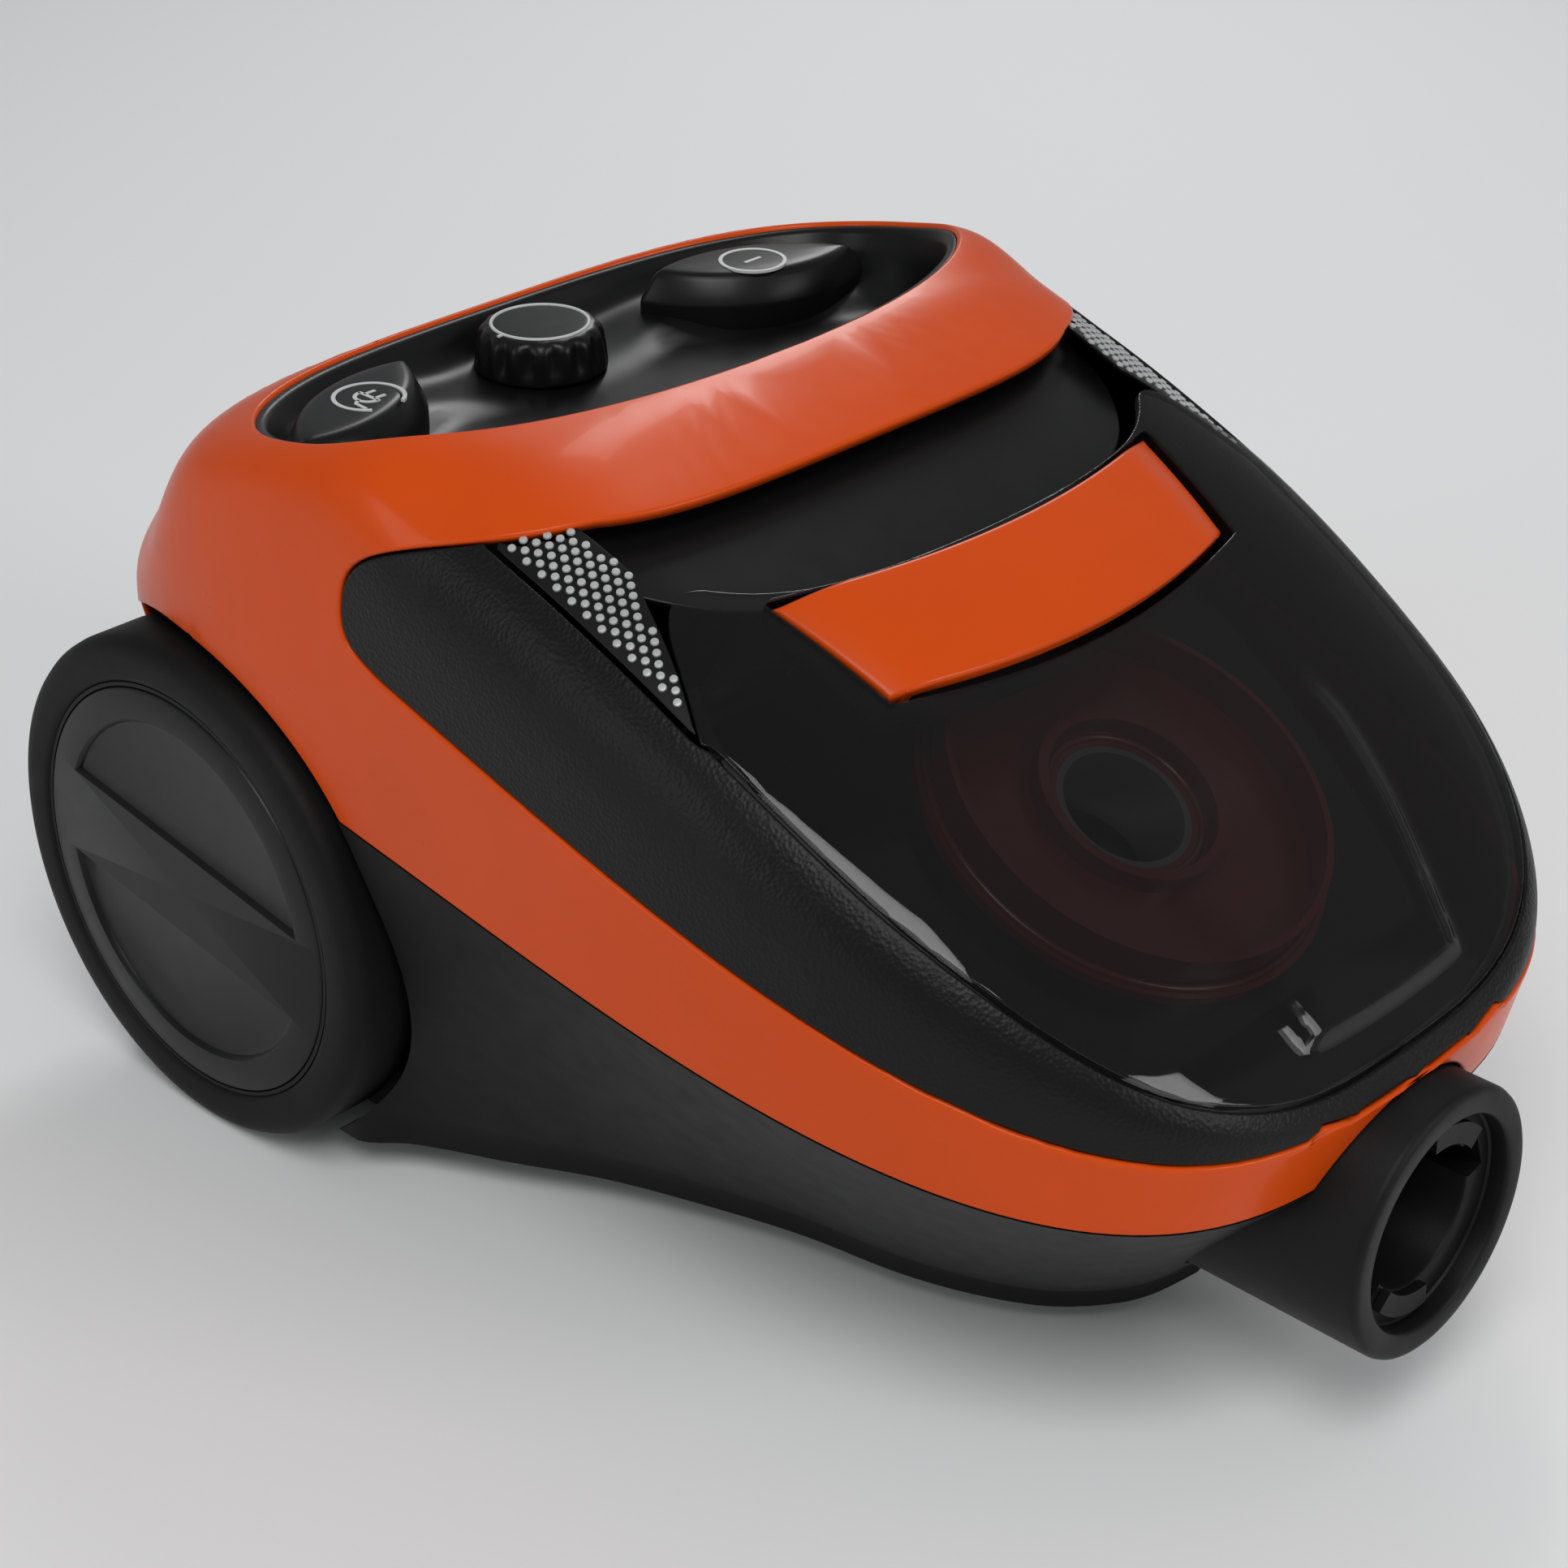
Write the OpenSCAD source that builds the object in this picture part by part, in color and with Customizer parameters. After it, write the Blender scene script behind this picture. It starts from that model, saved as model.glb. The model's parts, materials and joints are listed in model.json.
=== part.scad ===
// Bagless canister vacuum cleaner: body on two rear wheels and a front caster,
// lift-out dust bin with a cyclone, motor, cord reel and a control panel.
// Frame: +Z up, hose port towards -Y, origin on the floor under the middle of the bounding box.

/* [Body] */
// Widest half-width of the body
body_half_w = 131; // [115:1:160]
// Front end of the body, at the nose
nose_y = -208; // [-250:1:-190]
// Rear end of the body
tail_y = 221; // [205:1:260]
// Height of the roof at its highest point
roof_z = 246; // [235:1:270]
// Height of the orange band's upper edge at the nose
band_top_z = 107.6; // [104:0.2:114]
// Rise of the band's upper edge per unit of length
band_top_slope = 0.3; // [0.25:0.01:0.34]
// Height of the band's lower edge at the nose
band_low_z = 86; // [80:1:90]
// Rise of the band's lower edge per unit of length
band_low_slope = 0.155; // [0.1:0.005:0.2]
// Wall of the outer shells
shell_wall = 3; // [2:0.1:4]
// Gap between neighbouring shells
shell_gap = 0.6; // [0.3:0.1:1]
// Height of the floor of the base over the ground
floor_z = 12; // [10:1:16]

/* [Rear wheels] */
// Radius of a rear wheel
wheel_r = 80; // [70:1:84]
// Width of a rear wheel
wheel_w = 26; // [20:1:27]
// Distance from the centre plane to a wheel's outer face
wheel_face_x = 136; // [132:1:150]
// Place of the rear axle along the body
axle_y = 133; // [125:1:140]
// Radius of a wheel's stub axle
axle_r = 6; // [5:0.5:8]
// Space between a wheel and its arch
arch_gap = 4; // [3:0.5:8]

/* [Hose port] */
// Outer radius of the port's collar
port_r = 39; // [38:0.5:41]
// Bore radius that takes the hose cuff
port_bore_r = 21; // [18:0.5:24]
// Depth of the bore
port_depth = 48; // [40:1:52]
// How far the collar stands in front of the nose
port_reach = 12; // [8:1:20]
// Height of the port's axis
port_z = 67; // [64:1:70]

/* [Dust bin] */
// Forward lean of the bin and of the way it lifts out
bin_tilt = 30; // [28:1:32]
// Wall of the clear bin
bin_wall = 2.4; // [2:0.1:3]
// Radius of the round cup below the bin's tray
cup_r = 60; // [54:1:62]
// Radius of the cyclone's outlet tube
outlet_r = 20; // [16:1:24]
// Thickness of the carrying handle
handle_t = 4; // [3:0.5:6]

/* [Controls] */
// Radius of the suction knob
knob_r = 20; // [16:0.5:22]
// Height of the suction knob
knob_h = 14; // [10:1:18]
// Travel of the two push buttons
button_travel = 3; // [2:0.5:4]
// Distance of a push button from the centre plane
button_x = 80; // [76:0.5:82]

/* [Motor] */
// Outer radius of the motor housing
motor_r = 58; // [50:1:60]
// Length of the motor housing
motor_len = 112; // [100:1:120]
// Radius of the rotor's shaft
shaft_r = 4; // [3:0.5:5]

/* [Cord reel] */
// Outer radius of the cord reel's flanges
reel_r = 66; // [56:1:68]
// Distance between the reel's flanges
reel_w = 30; // [26:1:32]
// Radius of the drum that the cord is wound on
drum_r = 30; // [25:1:40]

/* [Caster] */
// Radius of the front caster wheel
caster_r = 14; // [12:0.5:15]
// Width of the front caster wheel
caster_w = 16; // [12:1:20]
// Distance from the swivel axis to the caster wheel's axis
caster_trail = 9; // [7:0.5:11]

/* [Hidden] */

// --- body outline and skin -------------------------------------------------------------
outline_steps = 48;
wide_front_y = 23;
wide_rear_y = 73;
nose_power = 3.2;
tail_power = 2.75;
// Roundness of the cross-section's shoulders at growing distances from the nose
shoulder_powers = [
    [0, 4.3], [233, 4.3], [258, 8], [288, 14], [328, 8], [350, 4], [364, 2.7], [400, 2.6]
];
outline_centre_y = 48;
rear_shoulder_z = 142;
band_draft = 2.5;
// Shares of the skin's height over the band at growing distances from the nose
roof_rise = [[0, 0], [7, 0.09], [21, 0.2], [51, 0.385], [91, 0.56], [131, 0.72], [165, 0.83],
    [201, 0.93], [227, 0.985], [251, 1], [289, 0.94], [351, 0.86]];
roof_fall_y = nose_y + 351;
roof_fall_power = 1.15;

// Share of the full width left at a share t of the way to the end of a rounded outline
function arc_part(t, power) = t >= 1 ? 0 : pow(1 - pow(max(t, 0), power), 1 / power);
function signed_pow(value, power) = sign(value) * pow(abs(value), power);

function half_width(y) =
    y < wide_front_y ? body_half_w * arc_part((wide_front_y - y) / (wide_front_y - nose_y), nose_power)
    : y > wide_rear_y ? body_half_w * arc_part((y - wide_rear_y) / (tail_y - wide_rear_y), tail_power)
    : body_half_w;
function band_low(y) = band_low_z + band_low_slope * (y - nose_y);
function band_top(y) =
    let (crest = band_top_z + band_top_slope * (min(y, wide_front_y) - nose_y))
    y < wide_front_y ? crest
    : crest + (rear_shoulder_z - crest) * pow((y - wide_front_y) / (tail_y - wide_front_y), 1.5);
function roof_front(y) = band_top_z + (roof_z - band_top_z) * lookup(y - nose_y, roof_rise);
function roof(y) =
    y < roof_fall_y ? roof_front(y)
    : rear_shoulder_z + (roof_front(roof_fall_y) - rear_shoulder_z)
        * arc_part((y - roof_fall_y) / (tail_y - roof_fall_y), roof_fall_power);
function shoulder_power(y) = lookup(y - nose_y, shoulder_powers);
// Height of the outer skin over a point of the plan
function skin_z(x, y) =
    band_top(y) + (roof(y) - band_top(y))
        * arc_part(abs(x) / max(half_width(y), 0.01), shoulder_power(y));

// One point of the plan outline; a runs from 0 at the nose round to 360
function outline_point(a) =
    cos(a) >= 0
    ? [body_half_w * signed_pow(sin(a), 2 / nose_power),
        wide_front_y - (wide_front_y - nose_y) * pow(cos(a), 2 / nose_power)]
    : [body_half_w * signed_pow(sin(a), 2 / tail_power),
        wide_rear_y + (tail_y - wide_rear_y) * pow(-cos(a), 2 / tail_power)];
function outline_angle(i) = 360 * (i + 0.5) / outline_steps;
function drawn_in(p, share) = [p[0] * share, outline_centre_y + (p[1] - outline_centre_y) * share];
ring_shares = [0.985, 0.955, 0.91, 0.84, 0.72, 0.52, 0.26];

// Rings of the skin, moved inwards by inset: lower edge, shoulder, then up over the roof
function skin_ring(share, inset) = [for (i = [0 : outline_steps - 1])
    let (p = drawn_in(outline_point(outline_angle(i)), share * 0.9999),
        q = drawn_in(p, 1 - inset / body_half_w))
    [q[0], q[1], skin_z(p[0], p[1]) - inset]];
function low_ring(inset, drop) = [for (i = [0 : outline_steps - 1])
    let (p = drawn_in(outline_point(outline_angle(i)), 1 - (band_draft + inset) / body_half_w))
    [p[0], p[1], band_low(p[1]) - drop]];
function skin_points(inset, drop) = concat(
    low_ring(inset, drop),
    skin_ring(1, inset),
    [for (share = ring_shares) each skin_ring(share, inset)],
    [[0, outline_centre_y, skin_z(0, outline_centre_y) - inset]]);
skin_rings = len(ring_shares) + 2;

function band_faces(first, second, flip) = [for (i = [0 : outline_steps - 1])
    let (j = (i + 1) % outline_steps, a = first + i, b = first + j, c = second + j, d = second + i)
    each flip ? [[a, c, b], [a, d, c]] : [[a, b, c], [a, c, d]]];
function skin_faces(start, flip) = concat(
    [for (r = [0 : skin_rings - 2])
        each band_faces(start + r * outline_steps, start + (r + 1) * outline_steps, flip)],
    [for (i = [0 : outline_steps - 1])
        let (a = start + (skin_rings - 1) * outline_steps + i,
            b = start + (skin_rings - 1) * outline_steps + (i + 1) % outline_steps,
            top = start + skin_rings * outline_steps)
        flip ? [a, top, b] : [a, b, top]]);

// The whole upper body as one solid, inset from the outer skin, with a flat slanting underside
module body_solid(inset, drop = 0) {
    polyhedron(
        points = skin_points(inset, drop),
        faces = concat(skin_faces(0, true), [[for (i = [0 : outline_steps - 1]) i]]));
}

// A shell between two insets of the skin
module body_shell(inset, wall) {
    inner = skin_rings * outline_steps + 1;
    polyhedron(
        points = concat(skin_points(inset, 0), skin_points(inset + wall, 0)),
        faces = concat(skin_faces(0, true), skin_faces(inner, false), band_faces(0, inner, false)));
}

// --- base hull --------------------------------------------------------------------------
hull_nose_y = nose_y + 63;
hull_tail_y = tail_y - 12;
// Half-width of the hull's floor at growing distances from its front end
hull_half_widths = [[0, 0], [3, 17], [10, 30], [25, 44], [59, 58], [90, 64], [120, 73], [150, 84],
    [177, 98],
    [205, 112], [219, 122], [300, 118], [330, 104], [345, 80], [351, 0]];
hull_levels = [0, 0.12, 0.5, 1];
hull_bulge = [0, 0.07, 0.47, 1];

function hull_floor_point(p) =
    let (share = (p[1] - nose_y) / (tail_y - nose_y),
        y = hull_nose_y + share * (hull_tail_y - hull_nose_y))
    [sign(p[0]) * lookup(y - hull_nose_y, hull_half_widths), y];
function hull_ring(level, inset, lift) = [for (i = [0 : outline_steps - 1])
    let (top = drawn_in(outline_point(outline_angle(i)), 1 - (band_draft + inset) / body_half_w),
        bottom = drawn_in(hull_floor_point(outline_point(outline_angle(i))),
            1 - 1.6 * inset / body_half_w),
        p = bottom + (top - bottom) * hull_bulge[level],
        z = floor_z + (band_low(top[1]) - floor_z) * hull_levels[level])
    [p[0], p[1], z + lift]];

// The base's outer form as one solid, inset from its skin and lifted by its floor's thickness
module hull_solid(inset, lift = 0) {
    levels = len(hull_levels);
    polyhedron(
        points = [for (level = [0 : levels - 1]) each hull_ring(level, inset, lift)],
        faces = concat(
            [for (r = [0 : levels - 2]) each band_faces(r * outline_steps, (r + 1) * outline_steps,
                true)],
            [[for (i = [0 : outline_steps - 1]) i]],
            [[for (i = [outline_steps - 1 : -1 : 0]) (levels - 1) * outline_steps + i]]));
}

// --- shared helpers -----------------------------------------------------------------------
tiny = 0.01;
far = 600;
round_fn = 64;
small_fn = 32;

// Turns a shape drawn along +Z so that it runs along +Y or along +X
module along_y() { rotate([-90, 0, 0]) children(); }
module along_x() { rotate([90, 0, 90]) children(); }
// The bin's own frame: z along the way it lifts out, y up the slope of its rim
module bin_frame() { rotate([bin_tilt, 0, 0]) children(); }
module ring(outer, inner, height, facets = round_fn) {
    difference() {
        cylinder(h = height, r = outer, $fn = facets);
        translate([0, 0, -1]) cylinder(h = height + 2, r = inner, $fn = facets);
    }
}
module both_sides() {
    for (side = [-1, 1]) scale_x(side) children();
}
module scale_x(side) {
    if (side < 0) mirror([1, 0, 0]) children();
    else children();
}
// A superellipse outline in the plan, centred on the panel
function oval(half_x, half_y, power, steps) = [for (i = [0 : steps - 1]) let (a = 360 * i / steps)
    [half_x * signed_pow(cos(a), 2 / power), half_y * signed_pow(sin(a), 2 / power)]];

// --- places ---------------------------------------------------------------------------------
arch_r = wheel_r + arch_gap;
arch_inner_x = wheel_face_x - wheel_w - arch_gap;
axle_z = wheel_r;
port_mouth_y = nose_y - port_reach;

// Side window: the part of the body in front of the orange shell, between band and visor
visor_z = roof_z - 14.5;
window_y = 54;
window_low_y = 40;
window_corners = [[window_low_y + 9, 5], [window_y - 0.5, 11], [window_y, 18], [window_y - 3, 27],
    [window_y - 11, 34], [window_y - 26, 40]];
function window_outline(gap) = concat(
    [[nose_y - 60, band_top_z + gap - 18], [window_low_y, band_line(window_low_y) + gap]],
    [for (c = window_corners) [c[0] - gap,
        band_line(window_low_y) + c[1] + gap * (c[1] > 18 ? -1 : 1)]],
    [[8, visor_z - 3.5 - gap], [-8, visor_z - gap], [nose_y - 60, visor_z - gap]]);
function band_line(y) = band_top_z + band_top_slope * (y - nose_y);

module window_prism(gap) {
    along_x() translate([0, 0, -far / 2]) linear_extrude(far) polygon(window_outline(gap));
}

// Control panel opening in the roof
panel_y = 80;
panel_half_x = 121;
panel_half_y = 62;
panel_power = 2.4;
panel_floor_z = roof_z - 36;
module panel_prism(inset, z0, z1) {
    translate([0, panel_y, z0]) linear_extrude(z1 - z0)
        polygon(oval(panel_half_x - inset, panel_half_y - inset, panel_power, 48));
}

// Wheel arch: a round space outside a given plane
module arch_space(radius, from_x) {
    both_sides() translate([from_x, axle_y, axle_z]) along_x()
        cylinder(h = 60, r = radius, $fn = round_fn);
}
module port_space(radius) {
    translate([0, port_mouth_y - 5, port_z]) along_y() cylinder(h = 75, r = radius, $fn = round_fn);
}

// --- dust bin outline, in the bin's own frame ---------------------------------------------------
bin_half_w = body_half_w - 14;
bin_side_y = -17;
bin_nose_y = nose_y + 4;
bin_power = 3.3;
bin_rear_v = 56;
bin_side_v = 38;
bin_steps = 12;
function rim_point(a) =
    let (x = bin_half_w * signed_pow(sin(a), 2 / bin_power),
        y = bin_side_y - (bin_side_y - bin_nose_y) * pow(max(cos(a), 0), 2 / bin_power),
        z = skin_z(x, y))
    [x, y * cos(bin_tilt) + z * sin(bin_tilt)];
rim_front = [for (i = [-bin_steps : bin_steps]) let (p = rim_point(i * 87 / bin_steps)) if (p[1] < bin_side_v) p];
rim_end_x = rim_front[0][0];
rim_rear = [[-rim_end_x - 1.5, bin_side_v], [98, bin_rear_v + 29], [75, bin_rear_v + 8],
    [0, bin_rear_v],
    [-75, bin_rear_v + 8], [-98, bin_rear_v + 29], [rim_end_x + 1.5, bin_side_v]];
grille_outline = [[rim_end_x, bin_side_v + 4], [-99.5, bin_rear_v + 31], [-97, bin_rear_v + 36],
    [-bin_half_w + 0.5, bin_rear_v + 62]];

module bin_outline(gap) {
    offset(delta = -gap) polygon(concat(rim_front, rim_rear));
}
// Everything inside the bin's rim, moved inwards by gap, from a level w upwards
module bin_prism(gap, w) {
    bin_frame() translate([0, 0, w]) linear_extrude(far / 2) bin_outline(gap);
}

// --- chassis shells ---------------------------------------------------------------------------
boss_r = 12;
bush_gap = 0.05;
caster_y = -80;
caster_well_r = 32;
caster_well_top = 46;
swivel_r = 4;
hatch_half_x = 52;
hatch_z0 = 50;
hatch_z1 = 112;
screw_r = 2;
screw_places = [[-50, -30], [50, -30], [-60, 188], [60, 188]];

module exhaust_window(gap) {
    translate([-hatch_half_x - gap, tail_y - 40, hatch_z0 - gap])
        cube([2 * (hatch_half_x + gap), 60, hatch_z1 - hatch_z0 + 2 * gap]);
}

module base_shell() {
    color([0.09, 0.09, 0.09]) difference() {
        union() {
            difference() {
                hull_solid(0);
                hull_solid(shell_wall, shell_wall);
            }
            intersection() {
                hull_solid(shell_wall / 2, 0.5);
                arch_space(arch_r + shell_wall, arch_inner_x - shell_wall);
            }
            translate([0, caster_y, floor_z + 1])
                cylinder(h = caster_well_top - floor_z - 1, r = caster_well_r + shell_wall,
                    $fn = round_fn);
            both_sides() translate([arch_inner_x - 20, axle_y, axle_z]) along_x()
                cylinder(h = 19, r = boss_r, $fn = round_fn);
            for (p = screw_places) translate([p[0], p[1], floor_z + 1])
                cylinder(h = 24, r = 5, $fn = small_fn);
        }
        arch_space(arch_r, arch_inner_x);
        translate([0, caster_y, floor_z - 1])
            cylinder(h = caster_well_top - shell_wall - floor_z + 1, r = caster_well_r, $fn = round_fn);
        translate([0, caster_y, 0]) cylinder(h = 100, r = swivel_r + bush_gap, $fn = round_fn);
        both_sides() translate([arch_inner_x - 30, axle_y, axle_z]) along_x()
            cylinder(h = 60, r = axle_r, $fn = round_fn);
        port_space(port_r + shell_gap);
        exhaust_window(shell_gap);
        for (p = screw_places) translate([p[0], p[1], floor_z - 1])
            cylinder(h = 30, r = screw_r, $fn = small_fn);
        translate([bush_x, tail_y - 60, bush_z]) along_y() cylinder(h = 80, r = bush_r, $fn = round_fn);
    }
}

module upper_shell() {
    color([0.78, 0.2, 0.03]) difference() {
        union() {
            body_shell(0, shell_wall);
            intersection() {
                body_solid(shell_wall / 2, 0);
                arch_space(arch_r + shell_wall, arch_inner_x - shell_wall);
            }
        }
        window_prism(0);
        panel_prism(0, panel_floor_z - 30, far / 2);
        arch_space(arch_r, arch_inner_x);
        port_space(port_r + shell_gap);
        exhaust_window(shell_gap);
        translate([0, 0, -shell_gap]) low_band_trim();
    }
}
// The seam between the orange band and the base
module low_band_trim() {
    translate([0, nose_y, band_low_z]) rotate([atan(band_low_slope), 0, 0])
        translate([-far / 2, -far / 2, -20]) cube([far, far * 1.5, 20 + 2 * shell_gap]);
}

cover_inset = 0.9;
cover_wall = 2.4;
module side_cover() {
    color([0.05, 0.05, 0.05]) difference() {
        intersection() {
            body_shell(cover_inset, cover_wall);
            window_prism(shell_gap);
        }
        bin_prism(-shell_gap, 0);
        bin_frame() translate([0, 0, 100]) linear_extrude(far / 2) polygon([
            [-bin_half_w - 0.6, bin_side_v - 6], [-bin_half_w - 0.6, bin_rear_v + 66],
            [-bin_half_w + 10, 400], [bin_half_w - 10, 400],
            [bin_half_w + 0.6, bin_rear_v + 66], [bin_half_w + 0.6, bin_side_v - 6]]);
        port_space(port_r + shell_gap);
    }
}

neck_inset = 9;
module neck_cover() {
    color([0.07, 0.07, 0.07]) difference() {
        intersection() {
            body_shell(neck_inset, cover_wall);
            window_prism(shell_gap);
            bin_frame() translate([0, 0, 100]) linear_extrude(far / 2) polygon([
                [0, bin_rear_v + 1], [75.5, bin_rear_v + 9], [99, bin_rear_v + 31],
                    [bin_half_w - 1, bin_rear_v + 63],
                [bin_half_w - 10, 400], [-bin_half_w + 10, 400], [-bin_half_w + 1, bin_rear_v + 63],
                [-99, bin_rear_v + 31], [-75.5, bin_rear_v + 9]]);
        }
        translate([-far / 2, panel_y - panel_half_y - 4, 0]) cube(far);
    }
}

grille_inset = 2.2;
grille_pitch = 9;
grille_hole_r = 2.4;
module side_grille(side) {
    color([0.6, 0.6, 0.6]) difference() {
        intersection() {
            body_shell(grille_inset, 1.4);
            bin_frame() scale_x(-side) translate([0, 0, 100]) linear_extrude(far / 2)
                polygon(grille_outline);
        }
        bin_frame() for (row = [0 : 6], k = [0 : 2])
            translate([side * (bin_half_w - 5 - k * grille_pitch * 0.7),
                bin_side_v + 24 + row * grille_pitch + k * 4, 180])
                cylinder(h = 60, r = grille_hole_r * (row * 1.4 + 3 > k * 4 ? 1 : 0.8), $fn = 16);
    }
}
module left_grille() { side_grille(-1); }
module right_grille() { side_grille(1); }

panel_wall = 2.4;
button_y = 105;
button_turn = 25;
knob_y = 116;
control_floor = panel_floor_z;
knob_z = control_floor + panel_wall + 0.6;
button_w = 34;
button_len = 76;
button_gap = 0.6;

// A boat-shaped plate: two arcs that meet at a point on each end
module boat(length, width, height) {
    radius = (length * length + width * width) / (4 * width);
    intersection() {
        translate([0, radius - width / 2, 0]) cylinder(h = height, r = radius, $fn = 96);
        translate([0, width / 2 - radius, 0]) cylinder(h = height, r = radius, $fn = 96);
    }
}
module control_panel() {
    color([0.06, 0.06, 0.06]) difference() {
        intersection() {
            panel_prism(shell_gap, control_floor, far / 2);
            body_solid(cover_inset + 0.3);
        }
        panel_prism(shell_gap + panel_wall, control_floor + panel_wall, far / 2);
        translate([0, knob_y, 0]) cylinder(h = far, r = 5.5, $fn = round_fn);
        both_sides() translate([button_x, button_y, 0]) rotate([0, 0, -button_turn])
            boat(button_len + 2 * button_gap, button_w + 2 * button_gap, far);
        for (x = [-20, 20]) translate([x, panel_y - 40, 0])
            cylinder(h = far, r = screw_r, $fn = small_fn);
    }
}

// --- air path -----------------------------------------------------------------------------------
cup_v = -21;
cup_w = 105;
tray_w = 178;
tray_z = port_z + port_r + 4;
inlet_r = 17;
duct_r = 21;
seal_t = 2;
cup_front_v = cup_v - cup_r;
duct_end_v = cup_front_v - seal_t - 0.4;
inlet_w = (port_z + duct_end_v * -sin(bin_tilt)) / cos(bin_tilt);

module inlet_port() {
    color([0.06, 0.06, 0.06]) difference() {
        union() {
            translate([0, port_mouth_y, port_z]) along_y() cylinder(h = 64, r = port_r, $fn = 96);
            translate([0, port_mouth_y + 60, port_z]) along_y()
                cylinder(h = 80, r = duct_r, $fn = round_fn);
            bin_frame() translate([0, duct_end_v - 3, inlet_w]) along_y()
                cylinder(h = 3, r = duct_r + 6, $fn = round_fn);
        }
        translate([0, port_mouth_y - 1, port_z]) along_y()
            cylinder(h = port_depth + 1, r = port_bore_r, $fn = 96);
        translate([0, port_mouth_y - 1, port_z]) along_y() cylinder(h = 7, r = port_r - 8, $fn = 96);
        translate([0, port_mouth_y, port_z]) along_y() cylinder(h = 160, r = inlet_r, $fn = round_fn);
        for (a = [0, 180]) translate([0, port_mouth_y - 1, port_z]) rotate([0, a + 20, 0])
            translate([port_bore_r - 3, 0, -5]) cube([7, 20, 10]);
        bin_frame() translate([-far / 2, duct_end_v, -far / 2]) cube(far);
        translate([0, 0, tray_z - 2]) translate([-far / 2, -far / 2, 0]) cube(far);
    }
}
module inlet_seal() {
    color([0.15, 0.15, 0.15]) bin_frame() translate([0, duct_end_v, inlet_w]) along_y()
        ring(duct_r + 5, inlet_r + 3, seal_t);
}

bulkhead_v = bin_rear_v + 2;
outlet_w0 = tray_w + 4;
outlet_half_x = 30;
outlet_h = 13;
module outlet_slot(v, length, grow) {
    bin_frame() translate([-outlet_half_x - grow, v, outlet_w0 - grow])
        cube([2 * (outlet_half_x + grow), length, outlet_h + 2 * grow]);
}
module bulkhead() {
    color([0.2, 0.2, 0.2]) difference() {
        intersection() {
            bin_frame() translate([-far / 2, bulkhead_v, 0])
                cube([far, shell_wall, outlet_w0 + outlet_h + 6]);
            union() {
                hull_solid(shell_wall + 1.5, shell_wall + 0.4);
                body_solid(neck_inset + cover_wall + 0.4, 8);
            }
        }
        outlet_slot(bulkhead_v - 5, 20, 0);
        bin_prism(-shell_gap - 0.4, tray_w - 8);
        arch_space(arch_r + shell_wall + 1, arch_inner_x - shell_wall - 1);
        translate([-far / 2, -50, -far + floor_z + shell_wall + 6]) cube(far);
    }
}
module outlet_seal() {
    color([0.15, 0.15, 0.15]) difference() {
        outlet_slot(bin_rear_v + 0.3, 1.7, 4);
        outlet_slot(bin_rear_v - 5, 20, 0);
    }
}

filter_half_x = 58;
filter_w0 = 136;
filter_h = 60;
filter_t = 16;
module filter_box(inset) {
    bin_frame()
        translate([-filter_half_x + inset, bulkhead_v + shell_wall + 0.2 + inset, filter_w0 + inset])
        cube([2 * (filter_half_x - inset), filter_t - inset, filter_h - 2 * inset]);
}
module filter_frame() {
    color([0.3, 0.3, 0.32]) difference() {
        filter_box(0);
        filter_box(3);
        outlet_slot(bulkhead_v - 2, 12, 0);
        bin_frame() for (k = [-2 : 2]) translate([k * 21 - 8, bulkhead_v - 5, filter_w0 + 5])
            cube([16, 12, 34]);
    }
}
module foam_filter() {
    color([0.75, 0.75, 0.7]) bin_frame()
        translate([-filter_half_x + 3.2, bulkhead_v + shell_wall + 3.6, filter_w0 + 3.2])
            cube([2 * (filter_half_x - 3.2), filter_t - 4, filter_h - 6.4]);
}

exhaust_y = tail_y - 34;
cover_back_y = tail_y - 21;
module exhaust_cover() {
    color([0.07, 0.07, 0.07]) difference() {
        intersection() {
            exhaust_window(0);
            hull_solid(0.4, 0);
        }
        translate([-far / 2, cover_back_y - far, 0]) cube(far);
        translate([-hatch_half_x + shell_wall, cover_back_y - 1, hatch_z0 + shell_wall])
            cube([2 * (hatch_half_x - shell_wall), 8, hatch_z1 - hatch_z0 - 2 * shell_wall]);
        for (row = [0 : 4], x = [-40 : 20 : 40])
            translate([x - 7, exhaust_y - 40, hatch_z0 + 8 + row * 9.4])
            cube([14, 120, 3.6]);
    }
}

// --- rear wheels ------------------------------------------------------------------------------
rim_r = wheel_r - 14;
cap_r = rim_r - 1.4;
hub_r = 12;
wheel_inner_x = wheel_face_x - wheel_w;
clip_x = 17.2;
clip_t = 0.9;

module at_wheel(side) {
    scale_x(side) translate([wheel_inner_x, axle_y, axle_z]) along_x() children();
}
module wheel(side) {
    color([0.05, 0.05, 0.05]) at_wheel(side) rotate_extrude($fn = 128) polygon([
        [axle_r + bush_gap, 1], [hub_r, 1], [hub_r, 10], [rim_r - 5, 10], [rim_r - 5, 1], [rim_r, 1],
        [rim_r, wheel_w - 1], [rim_r - 1.2, wheel_w - 1], [rim_r - 1.2, wheel_w - 5],
            [rim_r - 5, wheel_w - 5],
        [rim_r - 5, 13], [hub_r, 13], [hub_r, 17], [axle_r + bush_gap, 17]]);
}
module tyre(side) {
    edge = 4;
    color([0.03, 0.03, 0.03]) at_wheel(side) rotate_extrude($fn = 128) difference() {
        translate([rim_r, 0]) square([wheel_r - rim_r, wheel_w]);
        for (x = [0, wheel_w]) translate([wheel_r - edge, x]) difference() {
            translate([0, -edge]) square([edge + 1, 2 * edge]);
            translate([0, x == 0 ? edge : -edge]) circle(r = edge, $fn = 32);
            translate([0, x == 0 ? edge : -3 * edge]) square([edge + 1, 2 * edge]);
        }
    }
}
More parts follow.
